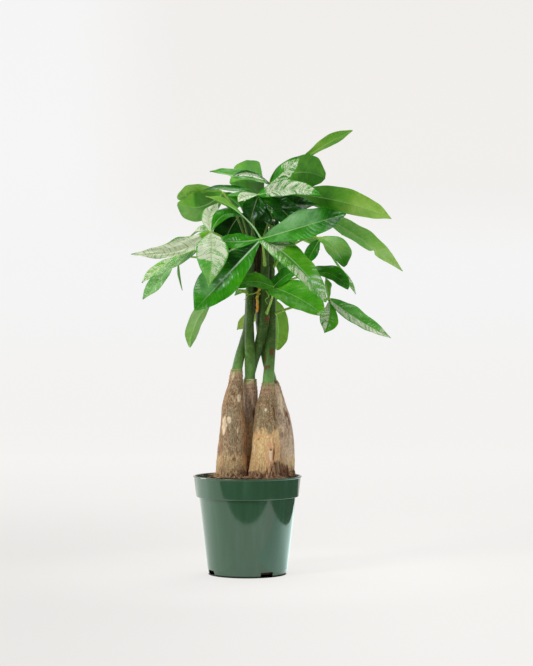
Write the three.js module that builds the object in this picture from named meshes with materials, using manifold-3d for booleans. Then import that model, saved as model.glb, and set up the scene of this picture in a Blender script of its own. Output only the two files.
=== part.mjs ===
// A potted money tree: five trunks with swollen bark bases whose slim green stems cross as a loose braid,
// crowned by palmate leaves, in a green plastic grower's pot full of soil.
// Millimetres, +Z up, the origin at the middle of the pot's underside. The front is at -Y.
import * as THREE from "three";
import { mergeVertices } from "three/addons/utils/BufferGeometryUtils.js";
import Module from "manifold-3d";

const wasm = await Module();
wasm.setup();

// Driving dimensions of the pot
const POT_HEIGHT = 137.5;
const RIM_RADIUS = 76;
const BAND_HEIGHT = 29;
const BAND_FOOT_RADIUS = 71.2;
const BODY_TOP_RADIUS = 67.6;
const FOOT_RADIUS = 55;
const FOOT_STEP_HEIGHT = 6.5;
const FOOT_STEP = 0.6;
const POT_WALL = 1.8;
const POT_FLOOR = 2.4;
const POT_SIDES = 40;
const RIM_LIP = 1.2;
const RIM_LIP_HEIGHT = 1.8;
const FOOT_ROUNDING = 3;
const EDGE_ROUNDING = 0.6;
const NOTCH_WIDTH = 19;
const NOTCH_HEIGHT = 7.5;
const NOTCH_DEPTH = 11;
const NOTCH_ANGLES = [30, 114, 210, 294];

// Driving dimensions of the soil
const SOIL_EDGE_HEIGHT = 132.5;
const SOIL_CROWN_HEIGHT = 137;

// Clearance between pieces that touch
const GAP = 0.3;

// Driving dimensions of the trunks
const BARK_SIDES = 14;
const BARK_RINGS = 10;
const BARK_LUMP = 0.035;
const LUMP_WAVE = 23;
const RIPPLE_WAVE = 17;
const STEM_SIDES = 10;
const STEM_RINGS = 12;
const STEM_ROOT = 4;

// Driving dimensions of the leaves
const BLADE_THICKNESS = 1;
const BLADE_STEPS = 7;
const BLADE_PEAK = 0.56;
const BLADE_BLUNT = 0.85;
const BLADE_FOLD = 0.22;
const BLADE_FOOT_WIDTH = 2.4;
const BLADE_TIP_WIDTH = 0.8;
const STALK_FOOT_RADIUS = 2.6;
const STALK_TIP_RADIUS = 1.7;
const STALK_SIDES = 6;
const STALK_RINGS = 5;
const STALK_MIDDLE_REACH = 0.45;
const STALK_MIDDLE_RISE = 0.7;
const HUB_RADIUS = 3;

// The trunks. Each row is [height, x, y, radius] of the round section there: the bark base from deep in the
// soil up to its shoulder, and the green stem from there to the growing tip.
const TRUNKS = {
  left: {
    bark: [
      [98, -22, -14, 15], [118, -22, -14, 19.5], [137, -22, -14, 21], [170, -21, -14, 20.5], [203, -20, -13, 18.6],
      [235, -20, -11, 15], [262, -17, -6, 11.2], [276, -16, -3, 9.2], [287, -14.5, 0, 8],
    ],
    stem: [
      [287, -14.5, 0, 7.4], [307, -10, 3, 7], [327, -3.8, 7, 7], [345, 1, 9, 6.9], [370, 3, 10, 6.6],
      [420, 4, 10, 6], [462, 3, 11, 4],
    ],
  },
  middle: {
    bark: [
      [98, 4, 21, 12], [118, 4, 21, 15], [137, 4, 21, 16.4], [170, 4, 20, 15.5], [203, 4, 17, 12.6],
      [235, 4, 12, 9.6], [255, 3.8, 9, 8.4], [273, 3.6, 6, 8],
    ],
    stem: [
      [273, 3.6, 6, 7.2], [298, 3.4, 0, 7.4], [327, 3, -7, 7], [350, 3, -9, 6], [380, 3.6, -9, 5.6],
      [420, 4, -9, 5.4], [466, 5, -8, 4],
    ],
  },
  right: {
    bark: [
      [98, 23, -20, 14], [118, 23, -20, 18.5], [137, 23, -20, 20.4], [170, 25, -20, 19.8], [203, 26, -19, 17.4],
      [235, 27, -17, 14.6], [251, 28.2, -14, 11.4], [268, 29, -12, 8.8],
    ],
    stem: [
      [268, 29, -12, 8.1], [283, 30, -10, 7.5], [308, 31.8, -4, 7.2], [327, 32.8, 0, 7.2], [350, 33, 3, 6.8],
      [400, 33, 5, 6], [468, 32, 6, 4],
    ],
  },
  far_right: {
    bark: [
      [98, 44, 20, 14], [118, 45, 20, 18.5], [137, 45, 20, 20.6], [170, 45, 20, 20.4], [192, 44.3, 20, 19.6],
      [214, 42.5, 19, 17.8], [235, 40, 18, 14.8], [251, 37.8, 17, 12], [262, 35.6, 16.4, 10], [271, 33.8, 16, 8.2],
    ],
    stem: [
      [271, 33.8, 16, 7.4], [283, 31, 16.2, 7], [295, 28, 17, 7], [308, 25.3, 18, 7], [327, 21, 19, 7], [350, 18.5, 20, 6.6],
      [400, 18, 22, 6], [464, 18, 23, 4],
    ],
  },
  hidden: {
    bark: [
      [98, -27, 33, 12], [118, -27, 33, 14.5], [137, -27, 33, 15.4], [170, -26, 32, 14.6], [203, -21, 30, 12],
      [225, -15, 27.5, 9.4], [240, -10, 26, 8.4],
    ],
    stem: [
      [240, -10, 26, 7.2], [262, -1, 23, 7.2], [284, 5, 20, 7], [298, 9, 15.5, 7], [308, 12.6, 10.5, 7],
      [320, 16, 3, 7], [332, 19, -4.5, 7], [347, 22.6, -11, 7], [365, 24, -13, 6.8], [420, 24.5, -13, 6],
      [464, 25, -12, 4],
    ],
  },
};

// The compound leaves. stem and at say where the stalk leaves which trunk, hub is where the leaflets meet,
// and lift raises the middle of the stalk. Each leaflet is [tip, middle of its midrib, width, face, shape]:
// face is the way its upper side looks. shape may state peak, where along it the blade is widest, blunt, how
// little it tapers there (small is blunt), and fold, how steeply both halves rise from the midrib.
const LEAVES = {
  front: {
    stem: "hidden", at: 427, hub: [20, -75, 465], lift: 4,
    leaflets: [
      [[-70, -112, 367], [-25, -100, 415], 56, [-0.25, -0.85, 0.45], { peak: 0.6, blunt: 0.7 }],
      [[-43, -60, 464], [-13, -73, 461], 27, [0, -0.8, 0.6], {}],
      [[-57, -50, 525], [-12, -64, 503], 20, [0.6, 0.35, 0.7], { peak: 0.62, blunt: 1.3 }],
      [[106, -118, 381], [65, -106, 432], 42, [0.3, -0.8, 0.5], { blunt: 0.7 }],
      [[134, -98, 497], [77, -98, 478], 50, [-0.2, -0.8, 0.6], { peak: 0.52, blunt: 0.65 }],
    ],
  },
  left: {
    stem: "middle", at: 430, hub: [-49, -62, 475], lift: 6,
    leaflets: [
      [[-158, -72, 439], [-104, -70, 448], 32, [-0.1, -0.5, 0.85], { fold: 0.35 }],
      [[-50, -118, 401], [-47, -102, 439], 43, [0, -0.85, 0.5], { peak: 0.45, blunt: 1.1 }],
      [[-40, -20, 518], [-52, -42, 496], 22, [-0.2, -0.85, 0.45], {}],
      [[-3, -28, 496], [-30, -44, 500], 26, [0.1, -0.5, 0.85], {}],
      [[-80, -10, 470], [-64, -34, 479], 24, [-0.2, -0.6, 0.8], {}],
      [[-106, -40, 428], [-82, -54, 446], 32, [0, -0.6, 0.8], {}],
    ],
  },
  far_left: {
    stem: "left", at: 418, hub: [-97, -15, 444], lift: 8,
    leaflets: [
      [[-144, -42, 383], [-121, -32, 408], 24, [-0.3, -0.75, 0.6], {}],
      [[-148, -8, 407], [-125, -12, 427], 18, [-0.4, -0.6, 0.6], {}],
      [[-87, -30, 396], [-94, -25, 420], 10, [-0.95, -0.25, 0.1], {}],
      [[-110, 6, 418], [-105, -5, 432], 16, [-0.2, -0.5, 0.8], {}],
    ],
  },
  upper_left: {
    stem: "middle", at: 444, hub: [-34, 10, 534], lift: 0,
    leaflets: [
      [[4, 34, 502], [-14, 26, 522], 26, [0.2, -0.5, 0.85], {}],
      [[-98, 6, 520], [-67, 8, 514], 42, [0, 0.95, 0.3], { blunt: 0.5 }],
      [[-99, 8, 527], [-67, 14, 532], 32, [-0.1, 0.7, 0.7], { peak: 0.6, blunt: 0.5 }],
      [[-72, 100, 524], [-58, 60, 536], 36, [-0.2, 0.3, 0.9], {}],
      [[-22, 112, 512], [-26, 62, 530], 36, [0.1, 0.3, 0.9], {}],
    ],
  },
  top: {
    stem: "right", at: 452, hub: [32, -10, 545], lift: 0,
    leaflets: [
      [[-52, -26, 561], [-10, -16, 557], 22, [0, -0.5, 0.85], {}],
      [[-19, -50, 553], [7, -36, 555], 15, [0.1, -0.75, 0.65], {}],
      [[-24, 68, 554], [4, 30, 555], 52, [0.75, 0.56, 0.3], { peak: 0.6, blunt: 0.55 }],
      [[74, -28, 582], [51, -24, 561], 27, [-0.5, -0.6, 0.6], {}],
      [[111, 56, 555], [73, 20, 563], 47, [-0.65, 0.7, 0.3], { peak: 0.6, blunt: 0.42 }],
    ],
  },
  crown: {
    stem: "far_right", at: 458, hub: [74, 42, 578], lift: -10,
    leaflets: [
      [[148, 18, 622], [112, 32, 605], 23, [-0.3, 0.6, 0.75], { peak: 0.58 }],
      [[98, 112, 558], [89, 80, 574], 30, [0, 0.3, 0.95], {}],
      [[46, 115, 556], [60, 82, 572], 30, [0, 0.3, 0.95], {}],
    ],
  },
  inner: {
    stem: "middle", at: 455, hub: [16, -40, 527], lift: 0,
    leaflets: [
      [[100, -68, 525], [62, -56, 535], 27, [0, -0.65, 0.75], { blunt: 0.7 }],
      [[-60, -34, 535], [-21, -34, 536], 18, [0, -0.5, 0.85], {}],
      [[-29, -56, 525], [-7, -50, 527], 13, [0, -0.5, 0.85], {}],
      [[-12, -80, 515], [-1, -64, 524], 16, [0.1, -0.75, 0.65], {}],
      [[95, -36, 515], [56, -36, 516], 26, [0.1, -0.8, 0.5], {}],
      [[4, -56, 488], [10, -50, 510], 24, [0, -0.95, 0.3], {}],
      [[38, -50, 486], [29, -47, 508], 26, [0.1, -0.95, 0.3], {}],
      [[66, -44, 486], [44, -42, 510], 28, [0.2, -0.9, 0.4], {}],
    ],
  },
  right: {
    stem: "far_right", at: 436, hub: [60, 25, 533], lift: 0,
    leaflets: [
      [[202, 30, 497], [140, 30, 522], 38, [0.05, 0.8, 0.6], { blunt: 0.7 }],
      [[118, 105, 512], [92, 68, 528], 36, [0.1, 0.4, 0.9], {}],
      [[62, 125, 512], [62, 78, 530], 36, [0, 0.4, 0.9], {}],
    ],
  },
  lower_right: {
    stem: "right", at: 438, hub: [98, 5, 505], lift: 4,
    leaflets: [
      [[214, 0, 415], [162, 6, 470], 31, [0.35, 0.65, 0.7], { peak: 0.5, blunt: 0.7 }],
      [[136, 80, 478], [120, 45, 496], 26, [0.2, 0.4, 0.9], {}],
      [[100, 105, 480], [100, 60, 500], 28, [0, 0.4, 0.9], {}],
    ],
  },
  middle_right: {
    stem: "right", at: 424, hub: [102, -20, 469], lift: 14,
    leaflets: [
      [[78, -12, 436], [90, -16, 455], 20, [-0.3, -0.9, 0.4], {}],
      [[136, -48, 428], [122, -37, 457], 37, [0.5, -0.75, 0.4], { blunt: 0.65 }],
      [[152, -22, 392], [131, -13, 424], 14, [0.6, -0.5, 0.5], {}],
    ],
  },
  inner_right: {
    stem: "hidden", at: 398, hub: [81, -30, 414], lift: -2,
    leaflets: [
      [[133, -40, 399], [116, -34, 422], 30, [0.1, -0.6, 0.8], { blunt: 0.6 }],
      [[98, -62, 408], [90, -46, 416], 18, [0.1, -0.5, 0.85], {}],
    ],
  },
  front_low: {
    stem: "hidden", at: 358, hub: [36, -60, 399], lift: 0,
    leaflets: [
      [[-21, -85, 387], [7, -76, 406], 28, [0, -0.7, 0.7], { blunt: 0.6 }],
      [[103, -112, 361], [70, -92, 384], 50, [0.1, -0.75, 0.65], { peak: 0.47, blunt: 0.5 }],
      [[74, -48, 425], [55, -54, 418], 22, [-0.2, -0.7, 0.75], {}],
    ],
  },
  right_low: {
    stem: "right", at: 362, hub: [113, -30, 384], lift: 0,
    leaflets: [
      [[109, -38, 415], [112, -34, 399], 14, [0.95, -0.3, 0], {}],
      [[106, -62, 337], [113, -50, 360], 26, [0.2, -0.9, 0.3], { peak: 0.62 }],
      [[198, -48, 328], [157, -40, 355], 31, [0.2, -0.7, 0.7], { blunt: 0.75 }],
    ],
  },
  back_low: {
    stem: "far_right", at: 352, hub: [34, 62, 384], lift: 4,
    leaflets: [
      [[42, 80, 314], [44, 76, 349], 30, [0.2, 0.9, 0.3], { blunt: 0.6 }],
      [[-16, 75, 343], [5, 70, 360], 20, [-0.3, 0.9, 0.3], {}],
      [[72, 120, 386], [56, 92, 394], 30, [0.2, 0.3, 0.9], {}],
      [[24, 150, 368], [28, 108, 388], 34, [0, 0.4, 0.9], {}],
      [[-20, 118, 392], [6, 92, 396], 30, [-0.2, 0.3, 0.9], {}],
    ],
  },
  left_low: {
    stem: "middle", at: 392, hub: [-34, -48, 402], lift: -2,
    leaflets: [
      [[-80, -62, 317], [-66, -58, 360], 26, [-0.5, 0.7, 0.3], { blunt: 0.6 }],
      [[-52, -40, 380], [-42, -44, 392], 14, [0, -0.7, 0.6], {}],
    ],
  },
  mid_back: {
    stem: "left", at: 457, hub: [-10, 42, 506], lift: 0,
    leaflets: [
      [[-62, 66, 482], [-38, 56, 502], 30, [-0.2, 0.5, 0.85], {}],
      [[-38, 58, 448], [-27, 52, 482], 38, [-0.3, 0.85, 0.4], {}],
      [[16, 60, 456], [6, 54, 486], 32, [0.2, 0.85, 0.4], {}],
      [[46, 64, 484], [20, 56, 502], 28, [0.2, 0.5, 0.85], {}],
    ],
  },
  back_left: {
    stem: "left", at: 426, hub: [-30, 88, 466], lift: -6,
    leaflets: [
      [[-54, 142, 434], [-46, 116, 458], 34, [-0.2, 0.5, 0.85], {}],
      [[-10, 172, 438], [-18, 132, 464], 38, [0, 0.5, 0.85], {}],
      [[30, 146, 450], [2, 118, 470], 34, [0.2, 0.5, 0.85], {}],
      [[-58, 92, 430], [-50, 90, 454], 26, [-0.4, 0.4, 0.8], {}],
    ],
  },
  back_right: {
    stem: "far_right", at: 418, hub: [52, 92, 478], lift: 6,
    leaflets: [
      [[100, 140, 462], [78, 118, 480], 34, [0.2, 0.5, 0.85], {}],
      [[56, 178, 448], [54, 136, 478], 40, [0, 0.5, 0.85], {}],
      [[18, 160, 470], [34, 128, 486], 32, [-0.2, 0.5, 0.85], {}],
      [[104, 100, 458], [80, 96, 474], 26, [0.2, 0.2, 0.95], {}],
      [[44, 98, 424], [51, 98, 452], 26, [0, 0.9, 0.3], {}],
    ],
  },
};

// A withered stalk that hangs in front of the stems. Each row is [height, x, y, radius].
const DRY_STALK = [
  [366, 13.6, -19, 1.3], [374, 14.4, -19, 1.8], [385, 14, -18, 1.7], [394, 15.4, -17, 1.8], [402, 19.5, -14.5, 2.1],
];

const MATERIALS = {
  dry: new THREE.MeshStandardMaterial({ color: 0xc08a2c, roughness: 0.8, metalness: 0 }),
  pot: new THREE.MeshStandardMaterial({ color: 0x3f7156, roughness: 0.28, metalness: 0 }),
  soil: new THREE.MeshStandardMaterial({ color: 0x3a2a20, roughness: 0.95, metalness: 0 }),
  trunk: new THREE.MeshStandardMaterial({ color: 0x8a7458, roughness: 0.9, metalness: 0 }),
  leaf: new THREE.MeshStandardMaterial({ color: 0x3f8a2c, roughness: 0.35, metalness: 0 }),
};

// Solids and meshes

// A closed geometry as a solid that can be joined and cut.
function solid(geometry) {
  const bare = geometry.clone();
  bare.deleteAttribute("normal");
  bare.deleteAttribute("uv");
  const merged = mergeVertices(bare, 1e-4);
  return new wasm.Manifold(
    new wasm.Mesh({
      numProp: 3,
      vertProperties: new Float32Array(merged.attributes.position.array),
      triVerts: new Uint32Array(merged.index.array),
    }),
  );
}

function meshOf(name, body, material) {
  const { vertProperties, triVerts } = body.getMesh();
  const geometry = new THREE.BufferGeometry()
    .setAttribute("position", new THREE.BufferAttribute(new Float32Array(vertProperties), 3))
    .setIndex(new THREE.BufferAttribute(new Uint32Array(triVerts), 1));
  geometry.computeVertexNormals();
  const mesh = new THREE.Mesh(geometry, material);
  mesh.name = name;
  return mesh;
}

// The largest connected piece of a solid, without loose scraps.
function largest(body) {
  return body.decompose().sort((a, b) => b.volume() - a.volume())[0];
}

// Pot and soil

// A profile of [radius, height] points turned about the Z axis.
function turned(profile, sides) {
  const points = profile.map(([radius, height]) => new THREE.Vector2(radius, height));
  return new THREE.LatheGeometry(points, sides).rotateX(Math.PI / 2);
}

function bodyRadius(height) {
  return THREE.MathUtils.mapLinear(height, 0, POT_HEIGHT - BAND_HEIGHT, FOOT_RADIUS, BODY_TOP_RADIUS);
}

function makePot() {
  const bandFoot = POT_HEIGHT - BAND_HEIGHT;
  const outside = [
    [0, 0],
    [FOOT_RADIUS - FOOT_ROUNDING, 0],
    [FOOT_RADIUS - FOOT_STEP - FOOT_ROUNDING * 0.3, FOOT_ROUNDING * 0.27],
    [bodyRadius(FOOT_ROUNDING) - FOOT_STEP, FOOT_ROUNDING],
    [bodyRadius(FOOT_STEP_HEIGHT) - FOOT_STEP, FOOT_STEP_HEIGHT],
    [bodyRadius(FOOT_STEP_HEIGHT + 1), FOOT_STEP_HEIGHT + 1],
    [BODY_TOP_RADIUS, bandFoot],
    [BAND_FOOT_RADIUS - EDGE_ROUNDING, bandFoot],
    [BAND_FOOT_RADIUS, bandFoot + EDGE_ROUNDING],
    [RIM_RADIUS - RIM_LIP, POT_HEIGHT - RIM_LIP_HEIGHT - EDGE_ROUNDING],
    [RIM_RADIUS, POT_HEIGHT - RIM_LIP_HEIGHT],
    [RIM_RADIUS, POT_HEIGHT - EDGE_ROUNDING],
    [RIM_RADIUS - EDGE_ROUNDING, POT_HEIGHT],
  ];
  const inside = [
    [RIM_RADIUS - RIM_LIP - POT_WALL + 0.4, POT_HEIGHT],
    [BAND_FOOT_RADIUS - POT_WALL, bandFoot + POT_WALL],
    [BODY_TOP_RADIUS - POT_WALL, bandFoot + POT_WALL / 2],
    [bodyRadius(POT_FLOOR + 2) - FOOT_STEP - POT_WALL, POT_FLOOR + 2],
    [bodyRadius(POT_FLOOR) - FOOT_STEP - POT_WALL - 2, POT_FLOOR],
    [0, POT_FLOOR],
  ];
  let body = solid(turned([...outside, ...inside], POT_SIDES));
  for (const angle of NOTCH_ANGLES) {
    const notch = new THREE.BoxGeometry(NOTCH_WIDTH, NOTCH_DEPTH + 10, NOTCH_HEIGHT * 2);
    notch.translate(0, -FOOT_RADIUS + NOTCH_DEPTH / 2 - 5, 0);
    notch.rotateZ(THREE.MathUtils.degToRad(angle));
    body = body.subtract(solid(notch));
  }
  return body;
}

function makeSoil(trunkRoom) {
  const bandFoot = POT_HEIGHT - BAND_HEIGHT;
  const wall = POT_WALL + GAP;
  const bandInside = (height) =>
    THREE.MathUtils.mapLinear(height, bandFoot, POT_HEIGHT, BAND_FOOT_RADIUS - 0.4, RIM_RADIUS - 1.6);
  const profile = [
    [0, POT_FLOOR + GAP],
    [bodyRadius(POT_FLOOR) - FOOT_STEP - wall - 2.2, POT_FLOOR + GAP],
    [bodyRadius(POT_FLOOR + 2) - FOOT_STEP - wall - 0.2, POT_FLOOR + 2 + GAP],
    [BODY_TOP_RADIUS - wall - 0.3, bandFoot + POT_WALL / 2 + 0.6],
    [BAND_FOOT_RADIUS - wall - 0.6, bandFoot + POT_WALL + 1],
    [bandInside(SOIL_EDGE_HEIGHT) - wall, SOIL_EDGE_HEIGHT],
    [62, SOIL_EDGE_HEIGHT + 2],
    [48, SOIL_CROWN_HEIGHT - 1],
    [26, SOIL_CROWN_HEIGHT],
    [0, SOIL_CROWN_HEIGHT],
  ];
  return largest(solid(turned(profile, POT_SIDES)).subtract(trunkRoom));
}

// Trunks

// A smooth curve through rows of numbers, by the value in the first column.
function rowAt(rows, value) {
  const last = rows.length - 1;
  let i = 0;
  while (i < last - 1 && rows[i + 1][0] < value) i += 1;
  const t = (value - rows[i][0]) / (rows[i + 1][0] - rows[i][0]);
  const slope = (k, column) => {
    const a = rows[Math.max(k - 1, 0)];
    const b = rows[Math.min(k + 1, last)];
    return (b[column] - a[column]) / (b[0] - a[0]);
  };
  const step = rows[i + 1][0] - rows[i][0];
  return rows[i].map((from, column) => {
    if (column === 0) return value;
    const to = rows[i + 1][column];
    const h1 = 2 * t ** 3 - 3 * t ** 2 + 1;
    const h2 = t ** 3 - 2 * t ** 2 + t;
    const h3 = -2 * t ** 3 + 3 * t ** 2;
    const h4 = t ** 3 - t ** 2;
    return h1 * from + h2 * step * slope(i, column) + h3 * to + h4 * step * slope(i + 1, column);
  });
}

// A round upright body whose level sections follow the rows, thickened by grow and lumpy by lump.
function upright(rows, sides, rings, grow, lump) {
  const geometry = new THREE.CylinderGeometry(1, 1, 1, sides, rings).rotateX(Math.PI / 2);
  const position = geometry.attributes.position;
  const low = rows[0][0];
  const high = rows[rows.length - 1][0];
  for (let i = 0; i < position.count; i += 1) {
    const share = position.getZ(i) + 0.5;
    const [z, x, y, radius] = rowAt(rows, THREE.MathUtils.lerp(low, high, share));
    const turn = Math.atan2(position.getY(i), position.getX(i));
    const lobe = Math.sin(3 * turn + z / LUMP_WAVE + x);
    const ripple = Math.sin(7 * turn - z / RIPPLE_WAVE);
    const lumpy = 1 + lump * lobe + (lump / 2) * ripple;
    const reach = Math.hypot(position.getX(i), position.getY(i)) * (radius * lumpy + grow);
    position.setXYZ(i, x + reach * Math.cos(turn), y + reach * Math.sin(turn), z);
  }
  return solid(geometry);
}

// A trunk grown as one piece: the green stem starts inside the bark's shoulder.
function trunk({ bark, stem }, grow = 0) {
  const base = upright(bark, BARK_SIDES, BARK_RINGS, grow, BARK_LUMP);
  const [start, ...rest] = stem;
  const inside = rowAt(bark, start[0] - STEM_ROOT);
  const root = [start[0] - STEM_ROOT, inside[1], inside[2], start[3]];
  return base.add(upright([root, start, ...rest], STEM_SIDES, STEM_RINGS, grow, 0));
}

// Leaves

function vector(list) {
  return new THREE.Vector3(...list);
}

// How wide a leaflet is along its length, as a share of its full width.
function bladeShare(t, peak, blunt) {
  const skew = Math.log(0.5) / Math.log(peak);
  return Math.sin(Math.PI * THREE.MathUtils.clamp(t, 0, 1) ** skew) ** blunt;
}

// The middle line of a leaflet from the hub through the middle of its midrib to the tip.
function bladeLine(hub, tip, middle) {
  const bend = middle.clone().multiplyScalar(2).addScaledVector(hub, -0.5).addScaledVector(tip, -0.5);
  return new THREE.QuadraticBezierCurve3(hub, bend, tip);
}

// The point of a leaflet at share t along it and s across it, from -1 to 1, and the way up there.
function bladePoint(line, face, width, shape, t, s) {
  const { peak = BLADE_PEAK, blunt = BLADE_BLUNT, fold = BLADE_FOLD } = shape;
  const along = line.getTangent(t);
  const up = face.clone().addScaledVector(along, -face.dot(along)).normalize();
  const side = along.clone().cross(up);
  const least = THREE.MathUtils.lerp(BLADE_FOOT_WIDTH, BLADE_TIP_WIDTH, t);
  const half = Math.max(width * bladeShare(t, peak, blunt), least) / 2;
  const point = line.getPoint(t).addScaledVector(side, half * s);
  return { point: point.addScaledVector(up, fold * half * Math.abs(s)), up };
}

// One leaflet as a thin closed blade. Both faces are split into the same triangles.
function blade(hub, [tipAt, middleAt, width, faceTo, shape]) {
  const face = vector(faceTo).normalize();
  const line = bladeLine(hub, vector(tipAt), vector(middleAt));
  const across = [-1, 0, 1];
  const columns = across.length;
  const points = [];
  for (const side of [0.5, -0.5]) {
    for (let i = 0; i <= BLADE_STEPS; i += 1) {
      for (const s of across) {
        const { point, up } = bladePoint(line, face, width, shape, i / BLADE_STEPS, s);
        points.push(point.addScaledVector(up, side * BLADE_THICKNESS));
      }
    }
  }
  const under = (BLADE_STEPS + 1) * columns;
  const faces = [];
  const quad = (a, b, c, d) => faces.push(a, b, c, a, c, d);
  for (let i = 0; i < BLADE_STEPS; i += 1) {
    for (let j = 0; j < columns - 1; j += 1) {
      const a = i * columns + j;
      const [b, c, d] = [a + 1, a + columns + 1, a + columns];
      faces.push(a, b, c, a, c, d);
      faces.push(under + a, under + c, under + b, under + a, under + d, under + c);
    }
    const left = i * columns;
    const right = left + columns - 1;
    quad(left, left + columns, under + left + columns, under + left);
    quad(right, under + right, under + right + columns, right + columns);
  }
  for (let j = 0; j < columns - 1; j += 1) {
    const far = BLADE_STEPS * columns + j;
    quad(j, under + j, under + j + 1, j + 1);
    quad(far, far + 1, under + far + 1, under + far);
  }
  const geometry = new THREE.BufferGeometry().setFromPoints(points).setIndex(faces);
  const body = solid(geometry);
  return body.volume() > 0 ? body : solid(flipped(geometry));
}

function flipped(geometry) {
  const index = geometry.index.array;
  for (let i = 0; i < index.length; i += 3) [index[i + 1], index[i + 2]] = [index[i + 2], index[i + 1]];
  return geometry;
}

// The round stalk from the trunk's middle to the hub, thicker at its foot.
function stalk(from, hub, lift) {
  const reach = hub.clone().sub(from);
  const share = new THREE.Vector3(STALK_MIDDLE_REACH, STALK_MIDDLE_REACH, STALK_MIDDLE_RISE);
  const middle = reach.clone().multiply(share).add(from);
  middle.z += lift;
  const line = new THREE.QuadraticBezierCurve3(from, middle, hub);
  const geometry = new THREE.CylinderGeometry(1, 1, 1, STALK_SIDES, STALK_RINGS);
  const position = geometry.attributes.position;
  const across = reach.clone().cross(new THREE.Vector3(0, 0, 1)).normalize();
  for (let i = 0; i < position.count; i += 1) {
    const t = position.getY(i) + 0.5;
    const radius = THREE.MathUtils.lerp(STALK_FOOT_RADIUS, STALK_TIP_RADIUS, t);
    const up = across.clone().cross(line.getTangent(t)).normalize();
    const point = line
      .getPoint(t)
      .addScaledVector(across, position.getX(i) * radius)
      .addScaledVector(up, position.getZ(i) * radius);
    position.setXYZ(i, point.x, point.y, point.z);
  }
  const body = solid(geometry);
  return body.volume() > 0 ? body : solid(flipped(mergeVertices(geometry)));
}

function leaf({ stem: carrier, at, hub: hubAt, lift, leaflets }, trunkRoom) {
  const [z, x, y] = rowAt(TRUNKS[carrier].stem, at);
  const hub = vector(hubAt);
  const knot = solid(new THREE.IcosahedronGeometry(HUB_RADIUS, 0).translate(hub.x, hub.y, hub.z));
  const pieces = [stalk(new THREE.Vector3(x, y, z), hub, lift), knot, ...leaflets.map((row) => blade(hub, row))];
  return largest(wasm.Manifold.union(pieces).subtract(trunkRoom));
}

// The whole plant
const group = new THREE.Group();
const rooms = [];
for (const rows of Object.values(TRUNKS)) rooms.push(trunk(rows, GAP));
const trunkRoom = wasm.Manifold.union(rooms);

group.add(meshOf("pot", makePot(), MATERIALS.pot));
group.add(meshOf("soil", makeSoil(trunkRoom), MATERIALS.soil));
for (const [name, rows] of Object.entries(TRUNKS)) {
  group.add(meshOf(`trunk_${name}`, trunk(rows), MATERIALS.trunk));
}
group.add(meshOf("dry_stalk", largest(upright(DRY_STALK, STALK_SIDES, 8, 0, 0).subtract(trunkRoom)), MATERIALS.dry));
for (const [name, parts] of Object.entries(LEAVES)) {
  group.add(meshOf(`leaf_${name}`, leaf(parts, trunkRoom), MATERIALS.leaf));
}

export default group;
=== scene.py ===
# The looks of a potted money tree: quilted glossy leaflets with pale herringbone markings, peeling bark at
# the trunks' feet, slim green stems, crumbly soil with fibrous roots and a moulded green grower's pot.
# Tables are in millimetres, as on the real plant, and every mesh is written in metres. The front is at -Y.
import math
import random

import bmesh
import bpy
import numpy as np
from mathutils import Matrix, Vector, noise


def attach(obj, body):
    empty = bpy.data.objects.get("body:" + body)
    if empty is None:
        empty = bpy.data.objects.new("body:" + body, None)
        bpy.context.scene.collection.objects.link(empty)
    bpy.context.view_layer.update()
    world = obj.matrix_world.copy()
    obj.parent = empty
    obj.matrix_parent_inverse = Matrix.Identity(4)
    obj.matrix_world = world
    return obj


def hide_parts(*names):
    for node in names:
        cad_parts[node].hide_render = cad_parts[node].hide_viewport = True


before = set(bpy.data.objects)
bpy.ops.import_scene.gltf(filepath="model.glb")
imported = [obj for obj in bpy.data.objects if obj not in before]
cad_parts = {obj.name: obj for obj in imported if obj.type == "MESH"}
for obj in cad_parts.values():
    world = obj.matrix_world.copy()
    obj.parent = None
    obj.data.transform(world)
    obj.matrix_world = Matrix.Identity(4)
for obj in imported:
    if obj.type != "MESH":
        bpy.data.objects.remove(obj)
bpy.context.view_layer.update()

MM = 0.001
SEED = 20

# Driving dimensions of the pot
POT_HEIGHT = 137.5
RIM_RADIUS = 76
BAND_HEIGHT = 29
BAND_FOOT_RADIUS = 71.8
BAND_TAPER = 0.112
BODY_TOP_RADIUS = 67.6
FOOT_RADIUS = 55
FOOT_STEP_HEIGHT = 6.5
FOOT_STEP_SLOPE = 0.9
FOOT_STEP = 0.6
POT_WALL = 1.8
POT_FLOOR = 2.4
RIM_LIP = 1.2
RIM_LIP_HEIGHT = 1.8
NOTCH_WIDTH = 19
NOTCH_HEIGHT = 7.5
NOTCH_DEPTH = 11
NOTCH_OVERCUT = 10
NOTCH_ANGLES = (30, 114, 210, 294)

# The pot's mesh: heights of rings on the body and the band, its rounded corners, and its first ring's radius
BODY_RINGS = (40, 75)
BAND_RINGS = (0, 10, 19)
CORNER_ROUNDING = 0.55
CORNER_GUARD = 0.8
AXIS = 0.01
POT_SIDES = 144
POT_SHARP_ANGLE = 35

# The soil: its surface and its body as (radius, height), and its clumps as (noise shift, width, height)
SOIL_PROFILE = ((0, 137), (26, 137), (48, 136), (62, 134.6), (72.4, 132.5))
SOIL_BODY = ((BODY_TOP_RADIUS - 3, 106), (50, 4))
SOIL_CLUMPS = ((0, 11, 1.5), (50, 4.2, 0.9), (90, 1.9, 0.5))
SOIL_FIRST_RADIUS = 0.4
SOIL_EDGE_FADE = 4
SOIL_SIDES = 180
SOIL_RINGS = 64
SOIL_TOP = 137

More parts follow.
